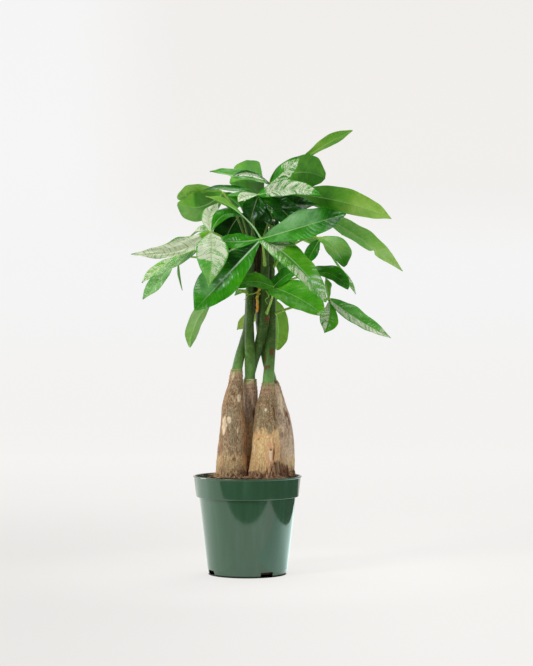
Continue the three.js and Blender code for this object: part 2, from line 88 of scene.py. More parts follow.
# Driving dimensions of the trunks
BARK_FOOT = 124
BARK_STEP = 1.5
BARK_LUMP = 0.035
LUMP_WAVE = 23
RIPPLE_WAVE = 17
WRINKLE_WAVE = 5.2
WRINKLE_DROP = 10
WRINKLE_REACH = 9
STEM_STEP = 2
TRUNK_SIDES = 84
SHOULDER = 2.2
NECK_LIP = 0.25
BUD_HEIGHT = 5
NODE_SWELL = 0.7
NODE_REACH = 3

# The height over the soil at which a trunk's level, which its material reads, gets to 1
LEVEL_SPAN = 330

# The bark's noises, each (noise shift, width, height to width)
BARK_GRAIN = {
    "fibre": (0, 2.6, 7), "fine": (40, 1.3, 4), "knobs": (90, 9, 1.6), "pits": (140, 3.2, 0.8),
    "ragged": (200, 4, 1.8), "shreds": (260, 4, 3), "ridges": (320, 4, 14),
}

# The kinds of marks on a trunk, and where a mark starts and is full, as shares of its half size
MARK_KINDS = ("pale", "soft", "dark", "rust", "sap", "tan", "neck")
SOFT_MARKS = ("soft", "tan")
SOFT_MARK_EDGE = (1.5, 0.4)
MARK_EDGE = (1.12, 0.86)

# Driving dimensions of the leaves
BLADE_STEP = 1.4
BLADE_ROWS = (20, 96)
BLADE_ACROSS = (0, 0.045, 0.1, 0.2, 0.33, 0.47, 0.61, 0.75, 0.88, 1)
BLADE_FOOT_WIDTH = 2.4
BLADE_TIP_WIDTH = 0.8
BLADE_TIP_TAPER = 0.3
BLADE_THICKNESS = 0.62
MARGIN_THINNING = 0.55
MARGIN_WAVE = 0.03
MARGIN_JAG = 0.01
BLADE_FOOT_SWELL = 0.75
BLADE_FOOT_REACH = 5
VEIN_SPACING = 7.2
FEWEST_VEINS = 5
VEIN_LEAN = 0.5
QUILT_HEIGHT = 0.42
BUCKLE_HEIGHT = 0.85
BUCKLE_SPACING = 34
CRUMPLE_HEIGHT = 1.5
FULL_RELIEF_WIDTH = 30
RIB_HEIGHT = 1.1
RIB_TIP_HEIGHT = 0.12
RIB_WIDTH = 0.9
GROOVE_DEPTH = 0.22
GROOVE_WIDTH = 0.8
STALK_FOOT_RADIUS = 1.9
STALK_TIP_RADIUS = 1.4
STALK_JOINT_SWELL = 0.8
STALK_JOINT_REACH = 4
STALK_MIDDLE_REACH = 0.45
STALK_MIDDLE_RISE = 0.7
STALK_SIDES = 12
STALK_RINGS = 40
STALK_YELLOW = 0.3
STEM_RADIUS = 6.5
HUB_RADIUS = 2.8
HUB_SQUASH = 0.8
HUB_JOINT_REACH = 3.5
HUB_YELLOW = 0.9

# The crumbs on the soil, with their size and its shares in width, depth and height
CRUMB_COUNT = 460
CRUMB_REACH = 70
CRUMB_SIZE = (0.8, 2.6)
CRUMB_SHAPE = ((0.5, 1.3), (0.5, 1.1), (0.35, 0.8))

# The root fibres
ROOT_START_HEIGHT = 138
ROOT_END_HEIGHT = 136
ROOT_SPREAD = 14
ROOT_REACH = 69
ROOT_RADIUS = (0.35, 1.25)
ROOT_TAPER = (0.3, 0.8, 1, 1, 1, 1, 0.9, 0.8, 0.6, 0.3)
ROOT_SIDES = 5

# The withered stalk's mesh, and the threads and the dry scales beside it, which are dark to stand in for
# shade too
DRY_STALK_RINGS = 60
DRY_STALK_SIDES = 14
THREAD_RADIUS = 0.9
THREAD_RINGS = 22
THREAD_SIDES = 8
HUSK_DEPTH = (-4, 6)
HUSK_RADIUS = (0.6, 2)
HUSK_RINGS = 14
HUSK_SIDES = 7

# Where the pot's plastic turns near black with painted shade, and where the floor under the pot stops
# glowing, in metres from the axis and from the floor
POT_PAINTED_SHADE_RADII = (0.0535, 0.0525)
POT_PAINTED_SHADE_HEIGHTS = (0.01, 0.008)
POT_SHADOW_RADII = (0.0535, 0.0555)

# The camera and the stage, in metres, with the sensor and the lens in millimetres
CAMERA_PLACE = (0.0267, -2.7, 0.337)
CAMERA_SENSOR = 36
CAMERA_LENS = 104.2
STAGE_FRONT = -6
STAGE_REACH = 7
STAGE_TOP = 6
SWEEP_START = 2.6
SWEEP_RADIUS = 0.9
SWEEP_STEPS = 12

# The cards for reflections, each (kind, left, right, front, back), all at one height over the floor
CARD_LEVEL = 0.001
CARDS = {
    "dark_front": ("dark", -0.5, 5, -5, -0.282),
    "dark_right": ("dark", 0.335, 5, -0.282, 0.75),
    "dark_far": ("dark", 0.6, 5, 0.75, 2.5),
    "card_right": ("right", 0.058, 0.335, -0.14, 0.75),
    "card_left": ("left", -1.3, -0.058, -0.14, 0.9),
}

# The lights, each (place, size, power, colour), which all point at one spot in the crown
LIGHT_AIM = (0.02, 0, 0.36)
LIGHTS = {
    "key_left": ((-1.5, -1.5, 1.7), (0.7, 0.7), 30, (1, 0.99, 0.97)),
    "fill_right": ((1.7, -1.2, 1.2), (1.2, 1.2), 8, (0.95, 0.98, 1)),
    "top": ((0.1, 0.1, 2.1), (0.9, 0.9), 17, (1, 1, 1)),
    "rim_left": ((-1.4, 0.4, 0.5), (0.5, 1.2), 9, (0.95, 0.98, 1)),
    "back": ((0.5, 1.2, 1.5), (1, 0.8), 7, (1, 1, 1)),
}

# The trunks. Each row is (height, x, y, radius). straw says from which height down the bark turns to straw
# yellow fibre, and how much. Each mark is (kind, height, degrees from the front, half height, half width).
TRUNKS = {
    "left": {
        "bark": (
            (98, -22, -14, 15), (118, -22, -14, 19.5), (137, -22, -14, 21), (170, -21, -14, 20.5),
            (203, -20, -13, 18.6), (235, -20, -11, 15), (262, -17, -6, 11.2), (276, -16, -3, 9.2),
            (287, -14.5, 0, 8),
        ),
        "stem": (
            (287, -14.5, 0, 7.4), (307, -10, 3, 7), (327, -3.8, 7, 7), (345, 1, 9, 6.9), (370, 3, 10, 6.6),
            (420, 4, 10, 6), (462, 3, 11, 4),
        ),
        "straw": (170, 0.45),
        "blush": 0.1,
        "marks": (
            ("pale", 208, -43, 13, 4), ("pale", 216.5, -18, 5, 3.4), ("pale", 247, 33, 6, 3.2),
            ("pale", 277, -27, 5, 1.8), ("dark", 252, -2, 1.4, 2.6), ("pale", 201, 22, 2.5, 1.2),
            ("pale", 186, 55, 5, 1), ("dark", 162, 10, 3, 2), ("dark", 235, 14, 2, 1),
            # The tan mark at 66 degrees, on the right flank, is partly the bark's colour and partly painted
            # shade on that side.
            ("tan", 215, -72, 66, 9), ("tan", 190, 66, 70, 9), ("tan", 262, -60, 20, 5),
            ("neck", 284, 0, 5, 200),
        ),
    },
    "middle": {
        "bark": (
            (98, 4, 21, 12), (118, 4, 21, 15), (137, 4, 21, 16.4), (170, 4, 20, 15.5), (203, 4, 17, 13),
            (235, 4, 12, 11), (255, 3.8, 9, 10), (273, 3.6, 6, 9),
        ),
        "stem": (
            (273, 3.6, 6, 7.2), (298, 3.4, 0, 7.4), (327, 3, -7, 7), (350, 3, -9, 6), (380, 3.6, -9, 5.6),
            (420, 4, -9, 5.4), (466, 5, -8, 4),
        ),
        # Its straw and blush are partly its own colour and partly painted light, set high to lighten it
        # where the other trunks shade it.
        "straw": (214, 0.55),
        "blush": 0.85,
        "marks": (
            ("pale", 271, 10, 2.5, 5), ("tan", 256, 6, 16, 9), ("rust", 225, 30, 8, 2),
            ("neck", 270, 0, 5, 200), ("tan", 235, -60, 34, 4), ("tan", 215, 50, 50, 5),
        ),
    },
    "right": {
        "bark": (
            (98, 23, -20, 14), (118, 23, -20, 18.5), (137, 23, -20, 20.4), (170, 25, -20, 19.8),
            (203, 26, -19, 17.4), (235, 27, -17, 14.6), (251, 28.2, -14, 11.4), (268, 29, -12, 8.8),
        ),
        "stem": (
            (268, 29, -12, 8.1), (283, 30, -10, 7.5), (308, 31.8, -4, 7.2), (327, 32.8, 0, 7.2),
            (350, 33, 3, 6.8), (400, 33, 5, 6), (468, 32, 6, 4),
        ),
        "straw": (202, 1),
        "blush": 0,
        "marks": (
            ("sap", 230.5, -3, 2, 2), ("rust", 289, -24, 2.4, 5.5), ("rust", 311, 19, 5, 3),
            ("rust", 300, -64, 9, 2), ("pale", 178, -55, 9, 1.6), ("rust", 170, 38, 12, 1.6),
            ("rust", 226, 44, 14, 1.6), ("pale", 168, 22, 8, 2), ("rust", 176, 24, 2, 1.4),
            ("dark", 190, -30, 1.5, 1.5), ("rust", 144, 46, 8, 9), ("tan", 172, 26, 24, 9),
            ("dark", 140, -30, 5, 9), ("dark", 139, 10, 4, 8),
        ),
    },
    "far_right": {
        "bark": (
            (98, 44, 20, 14), (118, 45, 20, 18.5), (137, 45, 20, 20.6), (170, 45, 20, 20.4),
            (192, 44.3, 20, 19.6), (214, 42.5, 19, 17.8), (235, 40, 18, 14.8), (251, 37.8, 17, 12),
            (262, 35.6, 16.4, 10), (271, 33.8, 16, 8.2),
        ),
        "stem": (
            (271, 33.8, 16, 7.4), (283, 31, 16.2, 7), (295, 28, 17, 7), (308, 25.3, 18, 7), (327, 21, 19, 7),
            (350, 18.5, 20, 6.6), (400, 18, 22, 6), (464, 18, 23, 4),
        ),
        "straw": (164, 0.8),
        "blush": 0.85,
        "marks": (
            ("pale", 246, 30, 20, 5), ("pale", 230, 40, 9, 4.4), ("pale", 202.5, 15, 6, 5),
            ("soft", 172, 36, 22, 14), ("dark", 143, -20, 5, 16), ("rust", 216, 60, 12, 2.4),
            ("dark", 226, 48, 8, 2), ("rust", 268, 30, 3, 4),
        ),
    },
    "hidden": {
        "bark": (
            (98, -27, 33, 12), (118, -27, 33, 14.5), (137, -27, 33, 15.4), (170, -26, 32, 14.6),
            (203, -21, 30, 12), (225, -15, 27.5, 9.4), (240, -10, 26, 8.4),
        ),
        "stem": (
            (240, -10, 26, 7.2), (262, -1, 23, 7.2), (284, 5, 20, 7), (298, 9, 15.5, 7),
            (308, 12.6, 10.5, 7), (320, 16, 3, 7), (332, 19, -4.5, 7), (347, 22.6, -11, 7),
            (365, 24, -13, 6.8), (420, 24.5, -13, 6), (464, 25, -12, 4),
        ),
        "straw": (160, 0.4),
        "blush": 0.3,
        "marks": (("rust", 356.5, 50, 4.6, 5.4), ("pale", 200, 190, 12, 3), ("pale", 170, 150, 6, 4)),
    },
}

# A plain leaflet's look. peak is where it is widest, and the lower blunt is, the rounder are its ends. It
# stays narrow up to its neck, its halves fold up from the midrib and arch, its margins ripple, and it may
# be crumpled. A bite is (place, side, depth, spread). tone runs from 0, blackish green, to 1, yellow green,
# and gives way to the tone of the tip round turn. warm is olive, rib makes the midrib bold, and under pales
# the under side. pale, dark, painted_sheen, sheen and painted_glint are zones, each (from, to, left, right,
# amount): its reach along the blade, its reach across it and its strength. A bare amount covers the whole
# blade. sheen makes the blade glossier, and the painted zones are painted light: a pale bluish sheen laid
# over the green, and white highlight streaks between the side veins.
PLAIN_LOOK = dict(
    peak=0.56, blunt=0.85, neck=-1, fold=0.22, arch=0.16, ripple=0.045, crumple=0, bite=None,
    tone=0.45, turn=0.5, warm=0, rib=0, under=1, pale=(), dark=(), painted_sheen=(), sheen=(), painted_glint=(),
)
ALL = (-1, 1)

# The compound leaves, each with the stem that carries it, the height where its stalk leaves, the hub where
# its leaflets meet and the lift of the stalk's middle. A leaflet is (tip, middle of its midrib, width, the
# way its upper side faces, look).
LEAVES = {
    "front": ("hidden", 427, (20, -75, 465), 4, (
        ((-70, -112, 367), (-27, -100, 414), 58, (-0.25, -0.85, 0.45), dict(
            peak=0.6, blunt=0.7, rib=1, tone=0.36, tip=0.4, turn=0.74, dark=((0.06, 0.4, 0.06, 1, 0.85),),
            sheen=((0.3, 0.8, *ALL, 1),), painted_sheen=((0.5, 0.8, 0, 1, 0.5), (0.46, 0.66, -0.4, 0.1, 0.4)),
            painted_glint=((0.34, 0.66, -0.4, 0.45, 1),))),
        ((-43, -60, 464), (-13, -73, 461), 27, (0, -0.8, 0.6), dict(
            rib=0.4, tone=0.37, tip=0.36, sheen=((0, 0.6, *ALL, 1),))),
        ((-57, -50, 525), (-12, -64, 503), 20, (0.6, 0.35, 0.7), dict(
            peak=0.76, blunt=1.9, rib=0.7, tone=0.56, tip=0.7, turn=0.6, pale=((0.5, 1, *ALL, 0.35),))),
        ((106.5, -117, 378), (66, -106, 430.5), 39, (0.3, -0.8, 0.5), dict(
            peak=0.42, blunt=0.46, rib=0.4, tone=0.47, tip=0.54, painted_sheen=((0.7, 1, *ALL, 0.3),),
            painted_glint=((0.64, 1, -1, 0.2, 0.7),),
            pale=((0.02, 0.3, *ALL, 0.74), (0.28, 0.5, 0.2, 1, 0.6), (0.48, 0.74, 0.1, 1, 0.8),
                  (0.7, 1, *ALL, 0.66)))),
        ((134, -98, 498), (77, -98, 481), 51, (-0.2, -0.8, 0.6), dict(
            peak=0.53, blunt=0.65, fold=0.15, arch=-0.1, tone=0.38, tip=0.3, dark=((0.76, 1, *ALL, 0.5),),
            rib=0.2, painted_sheen=((0.02, 0.7, -1, -0.02, 0.6), (0.1, 0.3, 0, 1, 0.25)),
            painted_glint=((0.8, 1, 0, 1, 0.4), (0.3, 0.8, 0, 1, 0.1)))),
    )),
    "left": ("middle", 430, (-49, -62, 475), 6, (
        ((-158, -72, 444.5), (-91, -70, 450.2), 32, (-0.1, -0.72, 0.62), dict(
            peak=0.42, blunt=0.72, fold=0.3, ripple=0.12, crumple=1, warm=0.2, tone=0.6,
            pale=((0.16, 1, *ALL, 0.95),))),
        ((-51, -118, 397), (-47, -102, 438), 44, (0, -0.85, 0.5), dict(
            peak=0.42, blunt=1.25, crumple=0.4, tone=0.48, tip=0.54, painted_sheen=((0.4, 1, *ALL, 0.35),),
            pale=((0, 0.56, *ALL, 0.86), (0.4, 0.8, -1, 0, 0.74)))),
        ((-40, -20, 518), (-52, -42, 496), 22, (-0.2, -0.85, 0.45), dict(tone=0.6, pale=0.9)),
        ((-3, -28, 496), (-30, -44, 500), 26, (0.1, -0.5, 0.85), dict(tone=0.4, tip=0.34)),
        ((-80, -10, 470), (-64, -34, 479), 24, (-0.2, -0.6, 0.8), dict(
            tone=0.5, warm=0.6, pale=0.8)),
        ((-106, -40, 427), (-82, -54, 445), 36, (0, -0.6, 0.8), dict(
            tone=0.42, tip=0.56, pale=((0.3, 1, *ALL, 0.56),), painted_sheen=((0.3, 1, *ALL, 0.3),))),
    )),
    "far_left": ("left", 418, (-97, -15, 444), 8, (
        ((-144, -42, 383.5), (-122.5, -32, 409), 24, (-0.3, -0.75, 0.6), dict(
            tone=0.5, tip=0.54, warm=0.4, pale=0.56, painted_sheen=0.7)),
        ((-147.4, -8, 407), (-124.6, -12, 426.3), 20.5, (-0.4, -0.6, 0.6), dict(tone=0.6, pale=0.7)),
        ((-90, -30, 396), (-94.6, -25, 422), 10, (-0.95, -0.25, 0.1), dict(
            tone=0.46, warm=0.6, pale=((0.5, 1, *ALL, 0.5),))),
        ((-110, 6, 418), (-105, -5, 432), 16, (-0.2, -0.5, 0.8), dict(tone=0.5)),
    )),
    "upper_left": ("middle", 444, (-34, 10, 534), 0, (
        ((4, 34, 500), (-14, 26, 520), 36, (0.2, -0.5, 0.85), dict(tone=0.4)),
        ((-98, 6, 520), (-67, 8, 514), 42, (0, 0.95, 0.3), dict(
            blunt=0.5, tone=0.5, tip=0.62, dark=((0.1, 0.6, -1, 0, 0.5),), painted_sheen=((0, 1, 0, 1, 0.4),))),
        ((-99, 8, 528), (-67, 14, 532), 34, (-0.1, 0.7, 0.7), dict(
            peak=0.64, blunt=0.42, tone=0.7, tip=0.74)),
        ((-72, 100, 524), (-58, 60, 536), 36, (-0.2, 0.3, 0.9), dict(tone=0.5)),
        ((-22, 112, 512), (-26, 62, 530), 36, (0.1, 0.3, 0.9), dict(
            tone=0.4, pale=((0.3, 0.8, 0, 1, 0.5),))),
    )),
    "top": ("right", 452, (32, -10, 545), 0, (
        ((-52, -26, 561), (-10, -16, 555.5), 28, (0, -0.5, 0.85), dict(tone=0.44, tip=0.46, warm=0.35)),
        ((-19, -50, 553), (7, -36, 555), 15, (0.1, -0.75, 0.65), dict(
            tone=0.3, pale=((0, 1, -1, 0.4, 0.8),), dark=((0, 1, 0.5, 1, 0.7),))),
        ((-26, 68, 552), (2, 30, 554.8), 54.5, (0.75, 0.56, 0.3), dict(
            peak=0.46, blunt=0.5, neck=0.2, tone=0.42, tip=0.6, turn=0.62, warm=0.35,
            dark=((0, 0.9, 0.1, 1, 0.6),))),
        ((74, -28, 580.5), (51, -24, 560), 31, (-0.35, -0.8, 0.5), dict(
            peak=0.44, fold=-0.04, tone=0.34, tip=0.45,
            pale=((0, 1, -0.1, 1, 0.78), (0.5, 1, -1, 0, 0.74)))),
        ((110.3, 56, 557.6), (72, 20, 563.6), 49, (-0.65, 0.7, 0.3), dict(
            peak=0.64, blunt=0.32, tone=0.5, tip=0.48, warm=0.4, dark=((0.55, 1, -1, 0.2, 0.3),))),
    )),
    "crown": ("far_right", 458, (70, 42, 578), -10, (
        ((148, 18, 622.5), (111.5, 32, 604.8), 24, (-0.3, 0.6, 0.75), dict(
            peak=0.6, blunt=0.7, tone=0.72, tip=0.6, warm=0.4)),
        ((98, 112, 558), (89, 80, 574), 30, (0, 0.3, 0.95), dict(tone=0.55)),
        ((46, 115, 556), (60, 82, 572), 30, (0, 0.3, 0.95), dict(tone=0.45, pale=((0.2, 0.7, -1, 0, 0.5),))),
    )),
    "inner": ("middle", 455, (16, -40, 527), 0, (
        ((102, -68, 524), (62, -56, 534), 32, (0, -0.75, 0.65), dict(
            peak=0.38, blunt=0.8, tone=0.36, tip=0.44, pale=((0.08, 0.84, *ALL, 0.78),))),
        ((-60, -34, 535), (-21, -34, 536), 18, (0, -0.5, 0.85), dict(
            tone=0.26, tip=0.24, pale=((0.2, 0.9, -1, 0.2, 0.5),), painted_sheen=((0.3, 0.9, -1, 0.3, 0.4),))),
        ((-29, -56, 525), (-7, -50, 527), 13, (0, -0.5, 0.85), dict(tone=0.48)),
        ((-12, -80, 515), (-1, -64, 524), 16, (0.1, -0.75, 0.65), dict(tone=0.6, pale=0.85)),
        ((95, -36, 515), (56, -36, 516), 26, (0.1, -0.8, 0.5), dict(
            tone=0.14, tip=0.1, pale=((0.06, 0.22, *ALL, 0.7),))),
        ((4, -56, 488), (10, -50, 510), 31, (0, -0.95, 0.3), dict(
            tone=0.22, tip=0.1, blunt=0.6, painted_glint=((0.3, 0.8, -1, 0, 0.8),))),
        ((38, -50, 484), (29, -47, 508), 34, (0.1, -0.95, 0.3), dict(
            tone=0.34, tip=0.06, turn=0.4, blunt=0.6, pale=((0.76, 0.9, -0.3, 0.8, 0.66),))),
        ((66, -44, 486), (44, -42, 510), 38, (0.2, -0.9, 0.4), dict(
            blunt=0.6, rib=0.5, tone=0.16, pale=((0.08, 0.5, 0.3, 1, 0.6),),
            painted_glint=((0.2, 0.9, -1, 0, 0.6),))),
    )),
    "right": ("far_right", 436, (60, 25, 535), 0, (
        ((203.8, 30, 498.4), (140.3, 30, 521.2), 41, (0.05, 0.8, 0.6), dict(
            peak=0.47, blunt=0.7, tone=0.44, tip=0.78, turn=0.45, warm=0.3)),
        ((118, 105, 512), (92, 68, 528), 36, (0.1, 0.4, 0.9), dict(tone=0.46)),
        ((62, 125, 512), (62, 78, 530), 36, (0, 0.4, 0.9), dict(
            tone=0.36, pale=((0.1, 0.6, -1, 0.1, 0.55),))),
    )),
    "lower_right": ("right", 438, (98, 5, 505), 4, (
        ((217.2, 0, 423.4), (163, 6, 467.4), 35, (0.35, 0.65, 0.7), dict(
            peak=0.43, blunt=0.7, bite=(0.64, -1, 0.4, 0.02), tone=0.58, tip=0.86, turn=0.66, warm=0.2,
            pale=((0.66, 1, *ALL, 0.4), (0.2, 0.6, *ALL, 0.3)),
            painted_sheen=((0, 0.66, *ALL, 0.3), (0.7, 1, *ALL, 0.6)))),
        ((136, 80, 478), (120, 45, 496), 26, (0.2, 0.4, 0.9), dict(tone=0.46)),
        ((100, 105, 480), (100, 60, 500), 28, (0, 0.4, 0.9), dict(tone=0.4)),
    )),
    "middle_right": ("right", 424, (102, -20, 469), 20, (
        ((82, -12, 433), (92, -16, 452), 21, (-0.3, -0.9, 0.4), dict(tone=0.3, tip=0.34)),
        ((134, -48, 428), (119.8, -37, 456), 43, (0.5, -0.75, 0.4), dict(
            blunt=0.5, tone=0.54, tip=0.3, turn=0.8, warm=1, painted_sheen=((0.1, 0.8, *ALL, 0.3),))),
        ((150.8, -22, 391), (127.9, -13, 427.6), 15.5, (0.6, -0.5, 0.5), dict(
            peak=0.76, blunt=1.1, tone=0.56, pale=((0.5, 1, *ALL, 0.7),))),
    )),
    "inner_right": ("hidden", 398, (81, -30, 417), -2, (
        ((139, -40, 397), (115, -34, 418.5), 32, (0.1, -0.6, 0.8), dict(
            peak=0.52, blunt=0.5, tone=0.42, tip=0.34)),
        ((98, -62, 408), (90, -46, 416), 18, (0.1, -0.5, 0.85), dict(tone=0.4)),
    )),
    "front_low": ("hidden", 358, (36, -60, 399), 0, (
        ((-19, -85, 396), (7, -76, 407), 26, (0, -0.8, 0.6), dict(
            peak=0.4, blunt=0.55, tone=0.5, tip=0.46, warm=0.3)),
        ((103, -112, 361), (70, -92, 384), 50, (0.1, -0.75, 0.65), dict(
            peak=0.42, blunt=0.42, tone=0.48, tip=0.5, warm=0.1, pale=((0.9, 1, *ALL, 0.7),))),
        ((76, -48, 426), (56, -54, 417), 26, (-0.2, -0.7, 0.75), dict(peak=0.45, blunt=0.45, tone=0.32)),
    )),
    "right_low": ("right", 362, (113, -30, 384), 0, (
        ((108, -38, 415), (110.5, -36, 399), 20, (0.9, -0.45, 0), dict(
            tone=0.6, pale=((0.4, 1, *ALL, 0.4),))),
        ((106, -62, 337), (113, -50, 360), 26, (0.2, -0.9, 0.3), dict(
            peak=0.62, tone=0.52, pale=((0.04, 0.96, 0, 1, 0.84), (0.5, 0.9, -0.6, 0, 0.5)))),
        ((198, -48, 330), (154, -40, 355), 31, (0.2, -0.7, 0.7), dict(
            peak=0.42, blunt=0.8, tone=0.48, tip=0.52, painted_sheen=0.25,
            pale=((0, 1, 0, 1, 0.84), (0.1, 1, -1, 0, 0.46), (0.8, 1, *ALL, 0.7)))),
    )),
    "back_low": ("far_right", 352, (34, 62, 384), 4, (
        ((42, 80, 312), (44, 76, 349), 29, (0.2, 0.9, 0.3), dict(
            peak=0.5, blunt=0.42, tone=0.64, tip=0.68, warm=0.5)),
        ((-16, 75, 341.5), (4.5, 70, 359), 20, (-0.3, 0.9, 0.3), dict(tone=0.88, warm=0.3)),
        ((72, 120, 386), (56, 92, 394), 30, (0.2, 0.3, 0.9), dict(tone=0.5)),
        ((24, 150, 368), (28, 108, 388), 34, (0, 0.4, 0.9), dict(tone=0.42, pale=((0.2, 0.8, 0, 1, 0.5),))),
        ((-20, 118, 392), (6, 92, 396), 30, (-0.2, 0.3, 0.9), dict(tone=0.45)),
    )),
    "left_low": ("middle", 392, (-34, -48, 402), -2, (
        ((-78, -62, 317), (-65.7, -58, 359), 25, (-0.5, 0.7, 0.3), dict(
            peak=0.62, blunt=0.6, tone=0.66, tip=0.76, warm=0.1, painted_sheen=((0.2, 1, *ALL, 0.7),))),
        ((-52, -40, 380), (-42, -44, 392), 14, (0, -0.7, 0.6), dict(tone=0.6)),
    )),
    # The leaves at the back of the crown have blackish tones and no paler under side, as painted shade.
    "mid_back": ("left", 457, (-10, 42, 506), 0, (
        ((-62, 66, 482), (-38, 56, 502), 32, (-0.2, 0.5, 0.85), dict(under=0, tone=0.24)),
        ((-38, 58, 448), (-27, 52, 482), 42, (-0.3, 0.85, 0.4), dict(under=0, blunt=0.6, tone=0.08)),
        ((16, 60, 456), (6, 54, 486), 42, (0.2, 0.85, 0.4), dict(under=0, blunt=0.6, tone=0.06)),
        ((46, 64, 484), (20, 56, 502), 36, (0.2, 0.5, 0.85), dict(under=0, tone=0.16)),
    )),
    "back_left": ("left", 426, (-30, 88, 466), -6, (
        ((-54, 142, 434), (-46, 116, 458), 34, (-0.2, 0.5, 0.85), dict(tone=0.4, tip=0.46)),
        ((-10, 172, 438), (-18, 132, 464), 38, (0, 0.5, 0.85), dict(
            tone=0.3, pale=((0.5, 0.9, -1, 0, 0.7),))),
        ((30, 146, 450), (2, 118, 470), 34, (0.2, 0.5, 0.85), dict(tone=0.3)),
        ((-58, 92, 430), (-50, 90, 454), 26, (-0.4, 0.4, 0.8), dict(tone=0.4)),
    )),
    "back_right": ("far_right", 418, (52, 92, 478), 6, (
        ((100, 140, 462), (78, 118, 480), 34, (0.2, 0.5, 0.85), dict(tone=0.44, tip=0.6)),
        ((56, 178, 448), (54, 136, 478), 40, (0, 0.5, 0.85), dict(tone=0.4)),
        ((18, 160, 470), (34, 128, 486), 32, (-0.2, 0.5, 0.85), dict(
            tone=0.5, pale=((0.1, 0.8, *ALL, 0.7),))),
        ((104, 100, 458), (80, 96, 474), 26, (0.2, 0.2, 0.95), dict(tone=0.46)),
        ((44, 98, 424), (51, 98, 452), 26, (0, 0.9, 0.3), dict(tone=0.4)),
    )),
}

# How far the middle of a leaf's stalk swings to the right
STALK_SWING = {"front_low": 8}

# The withered stalk in front of the stems in rows (height, x, y, radius), and the curled threads beside it
DRY_STALK = (
    (366, 13.6, -19, 1.3), (374, 14.4, -19, 1.8), (385, 14, -18, 1.7), (394, 15.4, -17, 1.8),
    (402, 19.5, -14.5, 2.1),
)
THREADS = (
    ((20, -16, 398), (10, -22, 392), (2, -24, 390), (-4, -20, 383)),
    ((18, -18, 392), (12, -24, 386), (16, -26, 380), (12, -24, 376)),
    ((26, -20, 396), (30, -25, 388), (25, -27, 383), (28, -24, 377)),
)

# The dry scales between the stems, dark so that they also stand in for the shade there. Each row is their
# reach across, their reach in height and their number
HUSKS_AND_SHADE_FILL = ((-3, 28, 398, 462, 48), (3, 17, 386, 410, 12), (7, 14, 356, 404, 10))

# The root fibres, each row (trunk, number, degrees from the front, reach in degrees, height, redness)
ROOT_TUFTS = (
    ("left", 130, 0, 180, 8, 0.1), ("middle", 60, 0, 180, 8, 0.5), ("right", 120, 0, 180, 7, 0.2),
    ("right", 150, 46, 34, 22, 1), ("far_right", 130, 0, 180, 9, 0.5), ("hidden", 70, 0, 180, 8, 0.3),
    ("right", 70, 50, 30, 24, 0), ("far_right", 120, -20, 46, 18, 0.9), ("right", 60, -50, 30, 10, 0.8),
    ("left", 70, 60, 30, 12, 0.6),
)


# Numbers

def smooth(low, high, value):
    """0 below low, 1 above high, and a soft step between them."""
    share = np.clip((value - low) / (high - low), 0, 1)
    return share * share * (3 - 2 * share)


def hump(distance, width):
    """1 at a distance of 0, falling away on both sides of it."""
    return np.exp(-((distance / width) ** 2))


def unit(vectors):
    """Vectors of length 1."""
    return vectors / np.linalg.norm(vectors, axis=-1, keepdims=True)


def row_at(rows, value):
    """The row at a value of the first column, on a smooth curve through the rows."""
    last = len(rows) - 1
    i = 0
    while i < last - 1 and rows[i + 1][0] < value:
        i += 1

    def slope(k):
        a = rows[max(k - 1, 0)]
        b = rows[min(k + 1, last)]
        return (b - a) / (b[0] - a[0])

    step = rows[i + 1][0] - rows[i][0]
    t = (value - rows[i][0]) / step
    lean_from = step * slope(i)
    lean_to = step * slope(i + 1)
    made = (2 * t**3 - 3 * t**2 + 1) * rows[i] + (t**3 - 2 * t**2 + t) * lean_from
    made = made + (3 * t**2 - 2 * t**3) * rows[i + 1] + (t**3 - t**2) * lean_to
    made[0] = value
    return made


def rough(points, scale, stretch=1):
    """Noise from -1 to 1 at points, with features about scale millimetres wide and stretch times as tall."""
    size = np.array((1 / scale, 1 / scale, 1 / (scale * stretch)))
    return np.array([noise.noise(Vector(p)) for p in points * size])


def full_turn(sides):
    """Equal angles round a circle."""
    return np.linspace(0, 2 * math.pi, sides, endpoint=False)


def packed(*values):
    """Three numbers a point, from values that spread over the same grid of points."""
    return np.stack(np.broadcast_arrays(*values), axis=-1).reshape(-1, 3)


# Meshes

class Shape:
    """One piece, gathered part by part: points, faces, and three numbers a point in each of its layers."""

    def __init__(self, *layers):
        self.points = []
        self.faces = []
        self.kinds = []
        self.layers = {name: [] for name in layers}
        self.count = 0

    def add(self, points, faces, kind=0, **layers):
        """Adds a closed body, whose kind is the number of its material."""
        self.points.append(points)
        self.faces += [tuple(i + self.count for i in face) for face in outward(points, faces)]
        self.kinds += [kind] * len(faces)
        for name, made in self.layers.items():
            made.append(np.broadcast_to(layers.get(name, (0, 0, 0)), (len(points), 3)))
        self.count += len(points)

    def piece(self, name, materials, slot, *replaced, sharp=50):
        """The finished object, which rides on the plant's body."""
        mesh = bpy.data.meshes.new(name)
        mesh.from_pydata((np.vstack(self.points) * MM).tolist(), [], self.faces)
        for layer, values in self.layers.items():
            attribute = mesh.attributes.new(layer, "FLOAT_VECTOR", "POINT")
            attribute.data.foreach_set("vector", np.vstack(values).astype(np.float32).ravel())
        for material in materials:
            mesh.materials.append(material)
        mesh.polygons.foreach_set("material_index", self.kinds)
        shade(mesh, sharp)
        made = linked(name, mesh)
        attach(made, "root")
        if replaced:
            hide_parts(*replaced)
        return made


def shade(mesh, sharp):
    """Smooth shading, with hard edges where faces meet at more than sharp degrees."""
    mesh.polygons.foreach_set("use_smooth", [True] * len(mesh.polygons))
    mesh.set_sharp_from_angle(angle=math.radians(sharp))


def linked(name, data):
    """A new object in the scene."""
    made = bpy.data.objects.new(name, data)
    bpy.context.scene.collection.objects.link(made)
    return made


